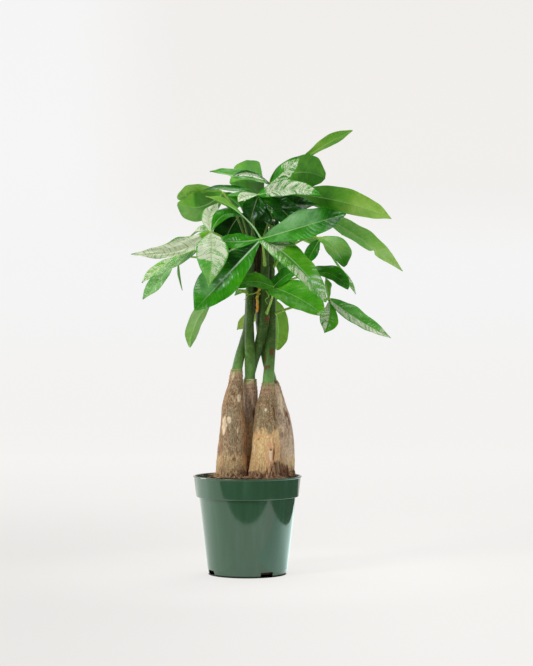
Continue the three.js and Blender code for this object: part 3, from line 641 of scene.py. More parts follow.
def grid_faces(rows, columns, start=0, closed=False):
    """Quads over a grid of points, row after row. A closed grid joins its last column to its first."""
    i, j = np.meshgrid(np.arange(rows - 1), np.arange(columns if closed else columns - 1), indexing="ij")
    a = (start + i * columns + j).ravel()
    b = (start + i * columns + (j + 1) % columns).ravel()
    return np.stack((a, b, b + columns, a + columns), axis=1).tolist()


def ringed_faces(rings, sides):
    """The faces of a body made of rings, with a cap on its first ring and one on its last."""
    last = rings * sides - 1
    return [*grid_faces(rings, sides, closed=True), range(sides), range(last, last - sides, -1)]


def outward(points, faces):
    """The faces, turned round if they point into the body."""
    corners = np.array([list(face[:3]) for face in faces])
    middle = points.mean(axis=0)
    a, b, c = (points[corners[:, k]] - middle for k in range(3))
    volume = np.einsum("ij,ij->i", a, np.cross(b, c)).sum()
    return faces if volume > 0 else [face[::-1] for face in faces]


def tube(path, radii, sides):
    """A closed round tube along a path, as points and faces."""
    path = np.asarray(path, float)
    along = unit(np.gradient(path, axis=0))
    across = [unit(np.cross(along[0], (0.3, 0.2, 0.93)))]
    for direction in along[1:]:
        across.append(unit(across[-1] - direction * across[-1].dot(direction)))
    across = np.array(across)
    upward = np.cross(along, across)
    turn = full_turn(sides)[None, :, None]
    ring = across[:, None] * np.cos(turn) + upward[:, None] * np.sin(turn)
    points = (path[:, None] + ring * np.asarray(radii, float)[:, None, None]).reshape(-1, 3)
    return points, ringed_faces(len(path), sides)


def curve(controls, count):
    """A smooth path through a few points."""
    controls = np.asarray(controls, float)
    rows = np.column_stack((np.arange(len(controls)), controls))
    return np.array([row_at(rows, v)[1:] for v in np.linspace(0, len(controls) - 1, count)])


def ball(radius, centre, squash, rings=7, sides=12):
    """A round knob, as points and faces."""
    tilt = np.linspace(0.001, math.pi - 0.001, rings)
    level = np.zeros(rings)
    path = np.column_stack((level, level, np.cos(tilt) * radius * squash))
    return tube(path + centre, np.sin(tilt) * radius, sides)


# Leaves

def zone_weight(zones, t, s):
    """The strongest of the soft-edged zones at each point of a blade."""
    if isinstance(zones, float):
        zones = ((0, 1, *ALL, zones),)
    made = np.zeros(np.broadcast(t, s).shape)
    for start, end, left, right, amount in zones:
        inside = smooth(start - 0.05, start + 0.05, t) * smooth(end + 0.06, end - 0.04, t)
        inside = inside * smooth(left - 0.08, left + 0.08, s) * smooth(right + 0.08, right - 0.08, s)
        made = np.maximum(made, inside * amount)
    return made


class Blade:
    """One leaflet: a quilted blade that thickens to its midrib below and waves along its margins.

    Its points form a grid: t runs from 0 at the hub to 1 at the tip, and s from -1 at the left margin to 1
    at the right one."""

    def __init__(self, hub, leaflet, rng):
        tip, middle, face = (np.array(value, float) for value in (leaflet[0], leaflet[1], leaflet[3]))
        self.width = leaflet[2]
        self.look = {**PLAIN_LOOK, **leaflet[4]}
        self.length = np.linalg.norm(middle - hub) + np.linalg.norm(tip - middle)
        self.phase = [rng.uniform(0, 2 * math.pi) for _ in range(6)]
        self.seed = rng.uniform(0, 50)
        rows = int(np.clip(self.length / BLADE_STEP, *BLADE_ROWS))
        right = np.array(BLADE_ACROSS)
        self.t = np.linspace(0, 1, rows + 1)[:, None]
        self.s = np.concatenate((-right[:0:-1], right))[None, :]
        self.far = np.abs(self.s)
        self.lay_midrib(hub, middle, tip, unit(face))
        self.half = self.half_width()
        self.reach = self.half * self.margin()
        self.from_rib = np.abs(self.reach * self.s)
        self.vein = self.side_veins()

    def lay_midrib(self, hub, middle, tip, face):
        """The midrib's line, and which way is up and which is to the right along it."""
        t = self.t
        bend = 2 * middle - (hub + tip) / 2
        self.line = (1 - t) ** 2 * hub + 2 * t * (1 - t) * bend + t**2 * tip
        along = unit(2 * (1 - t) * (bend - hub) + 2 * t * (tip - bend))
        self.up = unit(face - along * (along @ face)[:, None])
        self.side = np.cross(along, self.up)

    def half_width(self):
        """Half the blade's width along it. The blade stays narrow up to its neck."""
        t = self.t
        skew = math.log(0.5) / math.log(self.look["peak"])
        share = np.sin(math.pi * t**skew).clip(0, 1) ** self.look["blunt"]
        share = share * smooth(self.look["neck"] - 0.08, self.look["neck"] + 0.08, t)
        share = share * (1 - BLADE_TIP_TAPER * smooth(0.8, 0.98, t))
        least = BLADE_FOOT_WIDTH + (BLADE_TIP_WIDTH - BLADE_FOOT_WIDTH) * t
        return np.maximum(self.width * share, least) / 2

    def margin(self):
        """How uneven the margins are in shares of the half width, with the bite that some blades have."""
        t, s, phase = self.t, self.s, self.phase
        uneven = np.where(s > 0, np.sin(9 * t + phase[0]), np.sin(8 * t + phase[1]))
        jagged = np.where(s > 0, np.sin(31 * t + phase[1]), np.sin(27 * t + phase[0]))
        made = 1 + MARGIN_WAVE * uneven + MARGIN_JAG * jagged
        if self.look["bite"]:
            place, on_side, depth, spread = self.look["bite"]
            made = made * (1 - depth * hump(t - place, spread) * smooth(0, 0.5, s * on_side))
        return made

    def side_veins(self):
        """The count of side veins passed at each point, along veins that lean towards the tip."""
        t, far, phase = self.t, self.far, self.phase
        count = max(FEWEST_VEINS, self.length / VEIN_SPACING)
        vein = count * (t - VEIN_LEAN * far * (1 + 0.5 * far) * self.half / self.length) + phase[2]
        return vein + 0.35 * np.sin(11 * t + phase[5]) + 0.2 * np.sin(23 * t + phase[4])

    def quilting(self):
        """How far the blade bulges between its veins, buckles and crumples."""
        t, s, far, phase = self.t, self.s, self.far, self.phase
        inner = np.sin(math.pi * far) ** 0.6 * smooth(0, 0.12, t) * smooth(1, 0.9, t)
        uneven = 0.75 + 0.45 * np.sin(7 * t + phase[3] + 3 * s)
        quilt = QUILT_HEIGHT * inner * uneven * (np.abs(np.sin(math.pi * self.vein)) ** 0.8 - 0.4)
        turns = 2 * math.pi * max(1.5, self.length / BUCKLE_SPACING)
        buckle = np.sin(turns * t + phase[0] + 1.8 * s) * np.sin(3.1 * s + 4 * t + phase[1])
        buckle = BUCKLE_HEIGHT * buckle * smooth(0, 0.2, t) * smooth(0.02, 0.4, far)
        furrow = np.sin(9 * s + 6 * t + phase[2]) + 0.5 * np.sin(17 * s - 9 * t + phase[3])
        furrow = CRUMPLE_HEIGHT * self.look["crumple"] * furrow * smooth(0.04, 0.25, t) * smooth(1, 0.7, t)
        return min(1, self.width / FULL_RELIEF_WIDTH) * (quilt + buckle + furrow)

    def lift(self):
        """How far the blade stands above its midrib."""
        t, far, phase = self.t, self.far, self.phase
        rise = self.half * (self.look["fold"] * far + self.look["arch"] * (far - far**2))
        wave = np.where(self.s > 0, np.sin(13 * t + phase[3]), np.sin(15 * t + phase[4]))
        ripple = self.look["ripple"] * self.half * far**3 * wave * smooth(0, 0.2, t)
        return rise + self.quilting() + ripple

    def points(self):
        """The upper side, with a groove over the midrib, and the under side, where the midrib stands out."""
        t, up = self.t, self.up[:, None]
        middle = self.line[:, None] + self.side[:, None] * (self.reach * self.s)[..., None]
        middle = middle + up * self.lift()[..., None]
        thick = BLADE_THICKNESS * (1 - MARGIN_THINNING * self.far**2) / 2
        thick = thick + BLADE_FOOT_SWELL * hump(t * self.length, BLADE_FOOT_REACH)
        groove = GROOVE_DEPTH * hump(self.from_rib, GROOVE_WIDTH) * smooth(0, 0.05, t)
        ridge = RIB_HEIGHT * (1 - t) ** 0.7 + RIB_TIP_HEIGHT
        rib = ridge * hump(self.from_rib, RIB_WIDTH) * smooth(0, 0.04, t)
        over = middle + up * (thick - groove)[..., None]
        under = middle - up * (thick + rib)[..., None]
        return np.concatenate((over.reshape(-1, 3), under.reshape(-1, 3)))

    def faces(self):
        """Quads over both sides, and between them all round the rim."""
        rows, columns = len(self.t), self.s.shape[1]
        size = rows * columns
        faces = grid_faces(rows, columns) + [face[::-1] for face in grid_faces(rows, columns, start=size)]
        grid = np.arange(size).reshape(rows, columns)
        rim = np.concatenate((grid[:, 0], grid[-1, 1:], grid[-2::-1, -1], grid[0, -2:0:-1])).tolist()
        return faces + [(a, b, size + b, size + a) for a, b in zip(rim, rim[1:] + rim[:1])]

    def layers(self):
        """What the leaf's material reads at each point, of the upper side and then of the under side."""
        look, t, s = self.look, self.t, self.s
        pale, dark, painted_sheen, sheen, painted_glint = (
            zone_weight(look[kind], t, s) for kind in ("pale", "dark", "painted_sheen", "sheen", "painted_glint")
        )
        tip = look.get("tip", look["tone"])
        tone = look["tone"] + (tip - look["tone"]) * smooth(look["turn"] - 0.22, look["turn"] + 0.22, t)
        tone = tone * (1 - 0.75 * dark)
        made = {
            "blade": packed(self.vein, s, np.minimum(self.from_rib, 20)),
            "spot": packed(self.seed, t, sheen),
            "tint": packed(look["warm"], painted_sheen, look["rib"] * smooth(1.1, 0.4, t)),
            "painted_highlight": packed(painted_glint, 0, 0),
        }
        made = {name: np.concatenate((values, values)) for name, values in made.items()}
        made["paint"] = np.concatenate((packed(pale, tone, 0), packed(pale, tone, look["under"])))
        return made


def add_stalk(shape, foot, hub, lift, swing):
    """A leaf's stalk, from the middle of its stem to its hub, swollen at both ends."""
    reach = hub - foot
    middle = foot + reach * (STALK_MIDDLE_REACH, STALK_MIDDLE_REACH, STALK_MIDDLE_RISE)
    middle += (swing, 0, lift)
    t = np.linspace(0, 1, STALK_RINGS + 1)[:, None]
    path = (1 - t) ** 2 * foot + 2 * t * (1 - t) * middle + t**2 * hub
    length = np.linalg.norm(np.diff(path, axis=0), axis=1).sum()
    gone = t[:, 0] * length
    radii = STALK_FOOT_RADIUS + (STALK_TIP_RADIUS - STALK_FOOT_RADIUS) * smooth(0, 0.8, t[:, 0])
    radii = radii + STALK_JOINT_SWELL * hump(gone - STEM_RADIUS, STALK_JOINT_REACH)
    radii = radii + STALK_JOINT_SWELL * hump(length - gone, HUB_JOINT_REACH)
    shape.add(*tube(path, radii, STALK_SIDES), kind=1, spot=(0, STALK_YELLOW, 0))
    shape.add(*ball(HUB_RADIUS, hub, HUB_SQUASH), kind=1, spot=(0, HUB_YELLOW, 0))


def make_leaf(name, row, materials, rng):
    """A compound leaf in one piece: its stalk, its hub and its leaflets."""
    carrier, at, hub, lift, leaflets = row
    hub = np.array(hub, float)
    foot = row_at(np.array(TRUNKS[carrier]["stem"], float), at)[[1, 2, 0]]
    shape = Shape("blade", "paint", "spot", "tint", "painted_highlight")
    add_stalk(shape, foot, hub, lift, STALK_SWING.get(name, 0))
    for leaflet in leaflets:
        blade = Blade(hub, leaflet, rng)
        shape.add(blade.points(), blade.faces(), **blade.layers())
    return shape.piece(f"leaf_{name}_blades", materials, "leaf", f"leaf_{name}")


# Trunks

def trunk_levels(bark, stem):
    """The level rings of a trunk as rows [height, x, y, radius, bark], from below the soil to its bud."""
    top, end = bark[-1][0], stem[-1][0]
    levels = [[*row_at(bark, z), 1] for z in np.arange(BARK_FOOT, top - SHOULDER, BARK_STEP)]
    neck, start, tip = row_at(bark, top), row_at(stem, top), row_at(stem, end)
    for share in np.linspace(0, 1, 6):
        radius = start[3] + (neck[3] + NECK_LIP - start[3]) * math.sqrt(max(0, 1 - share**2))
        level = row_at(bark, top - SHOULDER * (1 - share))
        levels.append([*level[:3], radius, 1 - share**4])
    levels += [[*row_at(stem, z), 0] for z in np.arange(top + STEM_STEP / 2, end, STEM_STEP)]
    for share in np.linspace(0.2, 1, 5):
        radius = tip[3] * math.sqrt(max(0.002, 1 - share**2))
        levels.append([end + BUD_HEIGHT * share, tip[1], tip[2], radius, 0])
    return np.array(levels)


class Trunk:
    """A trunk with lumpy fibrous bark below and a smooth green stem above, in one skin of level rings."""

    def __init__(self, rows, nodes):
        bark, stem = np.array(rows["bark"], float), np.array(rows["stem"], float)
        levels = trunk_levels(bark, stem)
        self.rings = len(levels)
        self.z, self.x, self.y, radius, self.woody = (levels[:, k][:, None] for k in range(5))
        self.turn = full_turn(TRUNK_SIDES)[None, :]
        self.neck = self.z - bark[-1][0]
        self.blush = rows["blush"]
        self.reach = self.smooth_reach(radius, nodes)
        base = self.skin(self.reach)
        self.grain = {
            name: rough(base + shift, scale, stretch).reshape(self.reach.shape)
            for name, (shift, scale, stretch) in BARK_GRAIN.items()
        }
        self.marks = self.mark_weights(rows["marks"])
        self.straw = self.straw_weight(*rows["straw"])
        wrinkle = hump(self.neck + WRINKLE_DROP, WRINKLE_REACH)
        self.wrinkle = wrinkle * np.sin(2 * math.pi * (self.z + 0.8 * self.grain["knobs"]) / WRINKLE_WAVE)

    def smooth_reach(self, radius, nodes):
        """The skin's distance from the trunk's middle before its grain, with a swelling at each node."""
        lumps = np.sin(3 * self.turn + self.z / LUMP_WAVE + self.x)
        lumps = lumps + np.sin(7 * self.turn - self.z / RIPPLE_WAVE) / 2
        reach = radius * (1 + BARK_LUMP * lumps * smooth(0, 1, self.woody))
        for height in nodes:
            reach = reach + (1 - self.woody) * NODE_SWELL * hump(self.z - height, NODE_REACH)
        return reach

    def skin(self, reach):
        return packed(self.x + reach * np.cos(self.turn), self.y + reach * np.sin(self.turn), self.z)

    def mark_weights(self, marks):
        """How strongly each kind of mark shows at each point."""
        made = {kind: np.zeros(self.reach.shape) for kind in MARK_KINDS}
        degrees = np.degrees(self.turn) + 90
        for kind, z, angle, tall, wide in marks:
            around = np.radians((degrees - angle + 180) % 360 - 180)
            distance = np.hypot(around * self.reach / wide, (self.z - z) / tall)
            distance = distance + 0.45 * self.grain["ragged"]
            edge = SOFT_MARK_EDGE if kind in SOFT_MARKS else MARK_EDGE
            made[kind] = np.maximum(made[kind], smooth(*edge, distance))
        return made

    def straw_weight(self, top, amount):
        """How far the bark has turned to straw yellow fibre."""
        height = self.z + 8 * self.grain["ragged"] + 5 * self.grain["knobs"]
        return amount * smooth(top + 4, top - 6, height) * self.woody

    def points(self):
        """The skin with its relief: fibre, knobs and pits on the bark, and fine ridges on the stem."""
        grain, marks = self.grain, self.marks
        crust = 0.42 * grain["fibre"] + 0.24 * grain["fine"] + 0.7 * grain["knobs"]
        crust = crust - 0.5 * smooth(0.25, 0.6, grain["pits"])
        crust = crust * (1 - 0.7 * marks["pale"]) * (1 - 0.6 * marks["soft"])
        crust = crust - 0.45 * marks["pale"] - 0.5 * marks["dark"] + 0.45 * self.straw * grain["fibre"]
        shreds = 2.4 * smooth(156, 138, self.z) * (np.abs(grain["shreds"]) - 0.1)
        crust = crust + shreds + 0.42 * self.wrinkle
        ridges = 0.1 * grain["fine"] + 0.16 * grain["ridges"] - 0.3 * marks["rust"]
        return self.skin(self.reach + self.woody * crust + (1 - self.woody) * ridges + 0.9 * marks["sap"])

    def layers(self):
        """What the trunk's material reads at each point."""
        grain, marks = self.grain, self.marks
        collar = smooth(-26 + 6 * grain["ragged"], 0, self.neck) * self.woody
        depth = grain["fibre"] + 0.5 * grain["fine"] - 0.5 * smooth(0.25, 0.6, grain["pits"])
        # Painted shade in the bark's crevices and wrinkles, weaker on the straw
        crevice_shade = smooth(0.1, -0.7, depth + 0.5 * self.wrinkle) * self.woody * (1 - 0.7 * self.straw)
        return {
            "skin": packed(self.woody, self.straw, np.maximum(marks["pale"], 0.55 * marks["soft"])),
            "mark": packed(np.maximum(marks["rust"], 0.8 * marks["dark"]), marks["sap"], crevice_shade),
            "level": packed(collar, (self.z - SOIL_TOP) / LEVEL_SPAN, self.blush),
            "stains_and_shade": packed(marks["tan"], marks["neck"], 0),
        }


def make_trunk(name, rows, nodes, material):
    """A trunk in one piece, with nodes at the heights where its leaves grow."""
    trunk = Trunk(rows, nodes)
    shape = Shape("skin", "mark", "level", "stains_and_shade")
    shape.add(trunk.points(), ringed_faces(trunk.rings, TRUNK_SIDES), **trunk.layers())
    return shape.piece(f"trunk_{name}_skin", [material], "trunk", f"trunk_{name}", sharp=80)


# Pot and soil

def body_radius(height):
    """The outer radius of the pot's tapered body."""
    share = height / (POT_HEIGHT - BAND_HEIGHT)
    return FOOT_RADIUS + (BODY_TOP_RADIUS - FOOT_RADIUS) * share


def pot_profile():
    """The closed outline of the pot's wall as (radius, height), from its underside out and over the rim."""
    band_foot = POT_HEIGHT - BAND_HEIGHT
    lip_foot = POT_HEIGHT - RIM_LIP_HEIGHT
    step_top = FOOT_STEP_HEIGHT + FOOT_STEP_SLOPE
    foot = [
        (AXIS, 0), (FOOT_RADIUS - 3, 0), (body_radius(3) - FOOT_STEP, 3),
        (body_radius(FOOT_STEP_HEIGHT) - FOOT_STEP, FOOT_STEP_HEIGHT), (body_radius(step_top), step_top),
    ]
    body = [(body_radius(height), height) for height in BODY_RINGS] + [(BODY_TOP_RADIUS, band_foot)]
    band = [(BAND_FOOT_RADIUS + BAND_TAPER * height, band_foot + height) for height in BAND_RINGS]
    rim = [
        (RIM_RADIUS - RIM_LIP, lip_foot - 0.6), (RIM_RADIUS, lip_foot), (RIM_RADIUS, POT_HEIGHT),
        (RIM_RADIUS - RIM_LIP - POT_WALL + 0.4, POT_HEIGHT),
    ]
    inside = [
        (BAND_FOOT_RADIUS - POT_WALL, band_foot + POT_WALL),
        (BODY_TOP_RADIUS - POT_WALL, band_foot + POT_WALL / 2),
        (body_radius(POT_FLOOR + 2) - FOOT_STEP - POT_WALL, POT_FLOOR + 2),
        (body_radius(POT_FLOOR) - FOOT_STEP - POT_WALL - 2, POT_FLOOR), (AXIS, POT_FLOOR),
    ]
    return np.array(foot + body + band + rim + inside)


def rounded(profile):
    """A closed outline with softened corners, and a point close to each so that the flats stay flat."""
    made = []
    for corner, last, following in zip(profile, np.roll(profile, 1, axis=0), np.roll(profile, -1, axis=0)):
        room = min(np.linalg.norm(last - corner), np.linalg.norm(following - corner))
        before, after = unit(last - corner), unit(following - corner)
        if corner[0] < 1 or before.dot(after) < -0.97:
            made.append(corner)
            continue
        cut = min(CORNER_ROUNDING, room * 0.3)
        guard = min(cut + CORNER_GUARD, room * 0.45)
        a, b = corner + before * cut, corner + after * cut
        made.append(corner + before * guard)
        for share in (0, 0.25, 0.5, 0.75, 1):
            made.append((1 - share) ** 2 * a + 2 * share * (1 - share) * corner + share**2 * b)
        made.append(corner + after * guard)
    return np.array(made)


def cut_notches(pot):
    """Takes the drainage notches out of the foot of the pot."""
    cutters = []
    for angle in NOTCH_ANGLES:
        bpy.ops.mesh.primitive_cube_add(size=1)
        cutter = bpy.context.object
        cutter.dimensions = (NOTCH_WIDTH * MM, (NOTCH_DEPTH + NOTCH_OVERCUT) * MM, NOTCH_HEIGHT * 2 * MM)
        turn = math.radians(angle)
        cutter.rotation_euler = (0, 0, turn)
        out = (-FOOT_RADIUS + (NOTCH_DEPTH - NOTCH_OVERCUT) / 2) * MM
        cutter.location = (-math.sin(turn) * out, math.cos(turn) * out, 0)
        cut = pot.modifiers.new("notch", "BOOLEAN")
        cut.operation = "DIFFERENCE"
        cut.object = cutter
        cut.solver = "EXACT"
        cutters.append(cutter)
    bpy.context.view_layer.update()
    final = bpy.data.meshes.new_from_object(pot.evaluated_get(bpy.context.evaluated_depsgraph_get()))
    pot.modifiers.clear()
    pot.data = final
    for cutter in cutters:
        bpy.data.objects.remove(cutter)
    shade(final, POT_SHARP_ANGLE)


def make_pot(material):
    """The moulded pot: a tapered body, an overhanging band with a lip, and notches round the foot."""
    radius, height = (column[:, None] for column in rounded(pot_profile()).T)
    turn = full_turn(POT_SIDES)[None, :]
    shape = Shape()
    shape.add(
        packed(np.cos(turn) * radius, np.sin(turn) * radius, height), ringed_faces(len(radius), POT_SIDES),
    )
    pot = shape.piece("pot_moulded", [material], "pot", "pot", sharp=POT_SHARP_ANGLE)
    cut_notches(pot)
    return pot


def soil_height(radius):
    """The smooth height of the soil at a distance from the pot's axis."""
    return np.interp(radius, *zip(*SOIL_PROFILE))


def make_soil(material):
    """The soil: a clumpy crumbly top over a plain body that fills the pot."""
    edge = SOIL_PROFILE[-1][0]
    radii = np.linspace(SOIL_FIRST_RADIUS, edge, SOIL_RINGS)[:, None]
    turn = full_turn(SOIL_SIDES)[None, :]
    top = packed(radii * np.cos(turn), radii * np.sin(turn), soil_height(radii))
    clumps = sum(height * rough(top + shift, scale) for shift, scale, height in SOIL_CLUMPS)
    top[:, 2] += clumps * smooth(edge, edge - SOIL_EDGE_FADE, np.hypot(top[:, 0], top[:, 1]))
    low = [packed(radius * np.cos(turn), radius * np.sin(turn), height) for radius, height in SOIL_BODY]
    shape = Shape()
    shape.add(np.concatenate((top, *low)), ringed_faces(SOIL_RINGS + len(low), SOIL_SIDES))
    return shape.piece("soil_clumps", [material], "soil", "soil")


# Crumbs, fibres, husks and threads

def icosphere():
    """Points and faces of a coarse round ball of radius 1."""
    made = bmesh.new()
    bmesh.ops.create_icosphere(made, subdivisions=2, radius=1)
    points = np.array([v.co for v in made.verts])
    faces = [tuple(v.index for v in f.verts) for f in made.faces]
    made.free()
    return points, faces


def spun(points, angle):
    """Points turned about the vertical."""
    cos, sin = math.cos(angle), math.sin(angle)
    return points @ np.array(((cos, sin, 0), (-sin, cos, 0), (0, 0, 1)))


def crumb_place(feet, i, rng):
    """Where a crumb lies: every other one close to a trunk's foot, and the rest anywhere on the soil."""
    if i % 2:
        x, y, radius = rng.choice(feet)
        angle, away = rng.uniform(0, 2 * math.pi), radius + rng.uniform(-0.5, 9)
        return x + away * math.cos(angle), y + away * math.sin(angle)
    angle, away = rng.uniform(0, 2 * math.pi), CRUMB_REACH * math.sqrt(rng.uniform(0, 1))
    return away * math.cos(angle), away * math.sin(angle)


def make_crumbs(material, rng):
    """Loose crumbs and bark chips on the soil, thicker round the trunks' feet."""
    round_points, round_faces = icosphere()
    shape = Shape("spot")
    feet = [rows["bark"][2][1:] for rows in TRUNKS.values()]
    for i in range(CRUMB_COUNT):
        x, y = crumb_place(feet, i, rng)
        if math.hypot(x, y) > CRUMB_REACH:
            continue
        size = rng.uniform(*CRUMB_SIZE)
        flat = np.array([rng.uniform(*share) for share in CRUMB_SHAPE]) * size
        spin = rng.uniform(0, math.pi)
        points = round_points * flat
        points = points + round_points * (rough(points + i * 7, 1.5) * 0.35 * size)[:, None]
        place = (x, y, float(soil_height(math.hypot(x, y))) + 0.5 * flat[2])
        shape.add(spun(points, spin) + place, round_faces, spot=(rng.uniform(0, 1), rng.uniform(0, 1), 0))
    return shape.piece("soil_crumbs", [material], "soil", sharp=40)


def root_path(bark, angle, high, spread, rng):
    """A fibre's path from a height on the bark down to the soil and out over it."""
    path = []
    for share in (0, 0.25, 0.5, 0.75, 1):
        z = high + (ROOT_END_HEIGHT - high) * min(1, share * 1.4)
        _, x, y, radius = row_at(bark, z)
        out = radius * (1 + 0.6 * BARK_LUMP) + 1.6 * share + max(0, share - 0.5) * 2 * spread
        angle += rng.uniform(-0.16, 0.16)
        x, y = x + out * math.cos(angle), y + out * math.sin(angle)
        inward = min(1, ROOT_REACH / max(1, math.hypot(x, y)))
        lift = rng.uniform(-0.2, 1.6) if share > 0.6 else 0
        path.append((x * inward, y * inward, z + lift))
    return path


def make_roots(material, rng):
    """Thin brown root fibres that fray from the trunks' feet and lie over the soil."""
    shape = Shape("spot")
    for name, strands, front, reach, height, red in ROOT_TUFTS:
        bark = np.array(TRUNKS[name]["bark"], float)
        for _ in range(strands):
            angle = math.radians(front - 90 + rng.uniform(-reach, reach))
            high = ROOT_START_HEIGHT + height * rng.uniform(0, 1) ** 1.5
            spread = rng.uniform(0, 1) ** 2 * ROOT_SPREAD
            path = root_path(bark, angle, high, spread, rng)
            radii = rng.uniform(*ROOT_RADIUS) * np.array(ROOT_TAPER)
            points, faces = tube(curve(path, len(radii)), radii, ROOT_SIDES)
            shape.add(points, faces, spot=(rng.uniform(0, 1) ** 1.7, red * rng.uniform(0.3, 1), 0))
    return shape.piece("root_fibres", [material], "trunk")


def make_dry_stalk(material):
    """The withered stalk, twisted and shrunken between its joints."""
    rows = np.array(DRY_STALK, float)
    heights = np.linspace(rows[0][0], rows[-1][0], DRY_STALK_RINGS)
    levels = np.array([row_at(rows, z) for z in heights])
    radii = levels[:, 3] * (1 + 0.14 * np.sin(heights * 1.3) + 0.1 * np.sin(heights * 2.9))
    shape = Shape("spot")
    shape.add(*tube(levels[:, [1, 2, 0]], radii, DRY_STALK_SIDES), spot=(0.2, 0.2, 0))
    return shape.piece("dry_stalk_twisted", [material], "dry_stalk", "dry_stalk")


def make_threads(material):
    """Curled green threads, the withered scales of young leaves, beside the stems."""
    shape = Shape("spot")
    radii = THREAD_RADIUS * np.linspace(1, 0.4, THREAD_RINGS)
    for controls in THREADS:
        shape.add(*tube(curve(controls, THREAD_RINGS), radii, THREAD_SIDES), spot=(0.4, 0.3, 0))
    return shape.piece("leaf_threads", [material], "leaf")


def make_husks_and_shade_fill(material, rng):
    """Dry brown leaf scales and strands that hang between the stems under the crown, dark so that they also
    stand in for the shade there.
    """
    shape = Shape("spot")
    for left, right, low, high, count in HUSKS_AND_SHADE_FILL:
        for i in range(count):
            x = left + (right - left) * i / (count - 1) + rng.uniform(-1.5, 1.5)
            y = rng.uniform(*HUSK_DEPTH)
            top = high + rng.uniform(-10, 8)
            bottom = low + rng.uniform(-4, 0.35 * (high - low))
            path = []
            for share in (0, 0.33, 0.66, 1):
                across, deep = x + rng.uniform(-2.4, 2.4), y + rng.uniform(-2, 2)
                path.append((across, deep, top + (bottom - top) * share))
            radii = rng.uniform(*HUSK_RADIUS) * np.linspace(1, 0.35, HUSK_RINGS)
            points, faces = tube(curve(path, HUSK_RINGS), radii, HUSK_SIDES)
            shape.add(points, faces, spot=(rng.uniform(0, 1) ** 2, 0, 0))
    return shape.piece("dry_husks_and_shade_fill", [material], "trunk")


# Materials

def srgb(red, green, blue):
    """A colour given as it shows on a screen, from 0 to 255, as linear light."""
    def linear(value):
        value = value / 255
        return value / 12.92 if value <= 0.04045 else ((value + 0.055) / 1.055) ** 2.4
    return (linear(red), linear(green), linear(blue), 1)


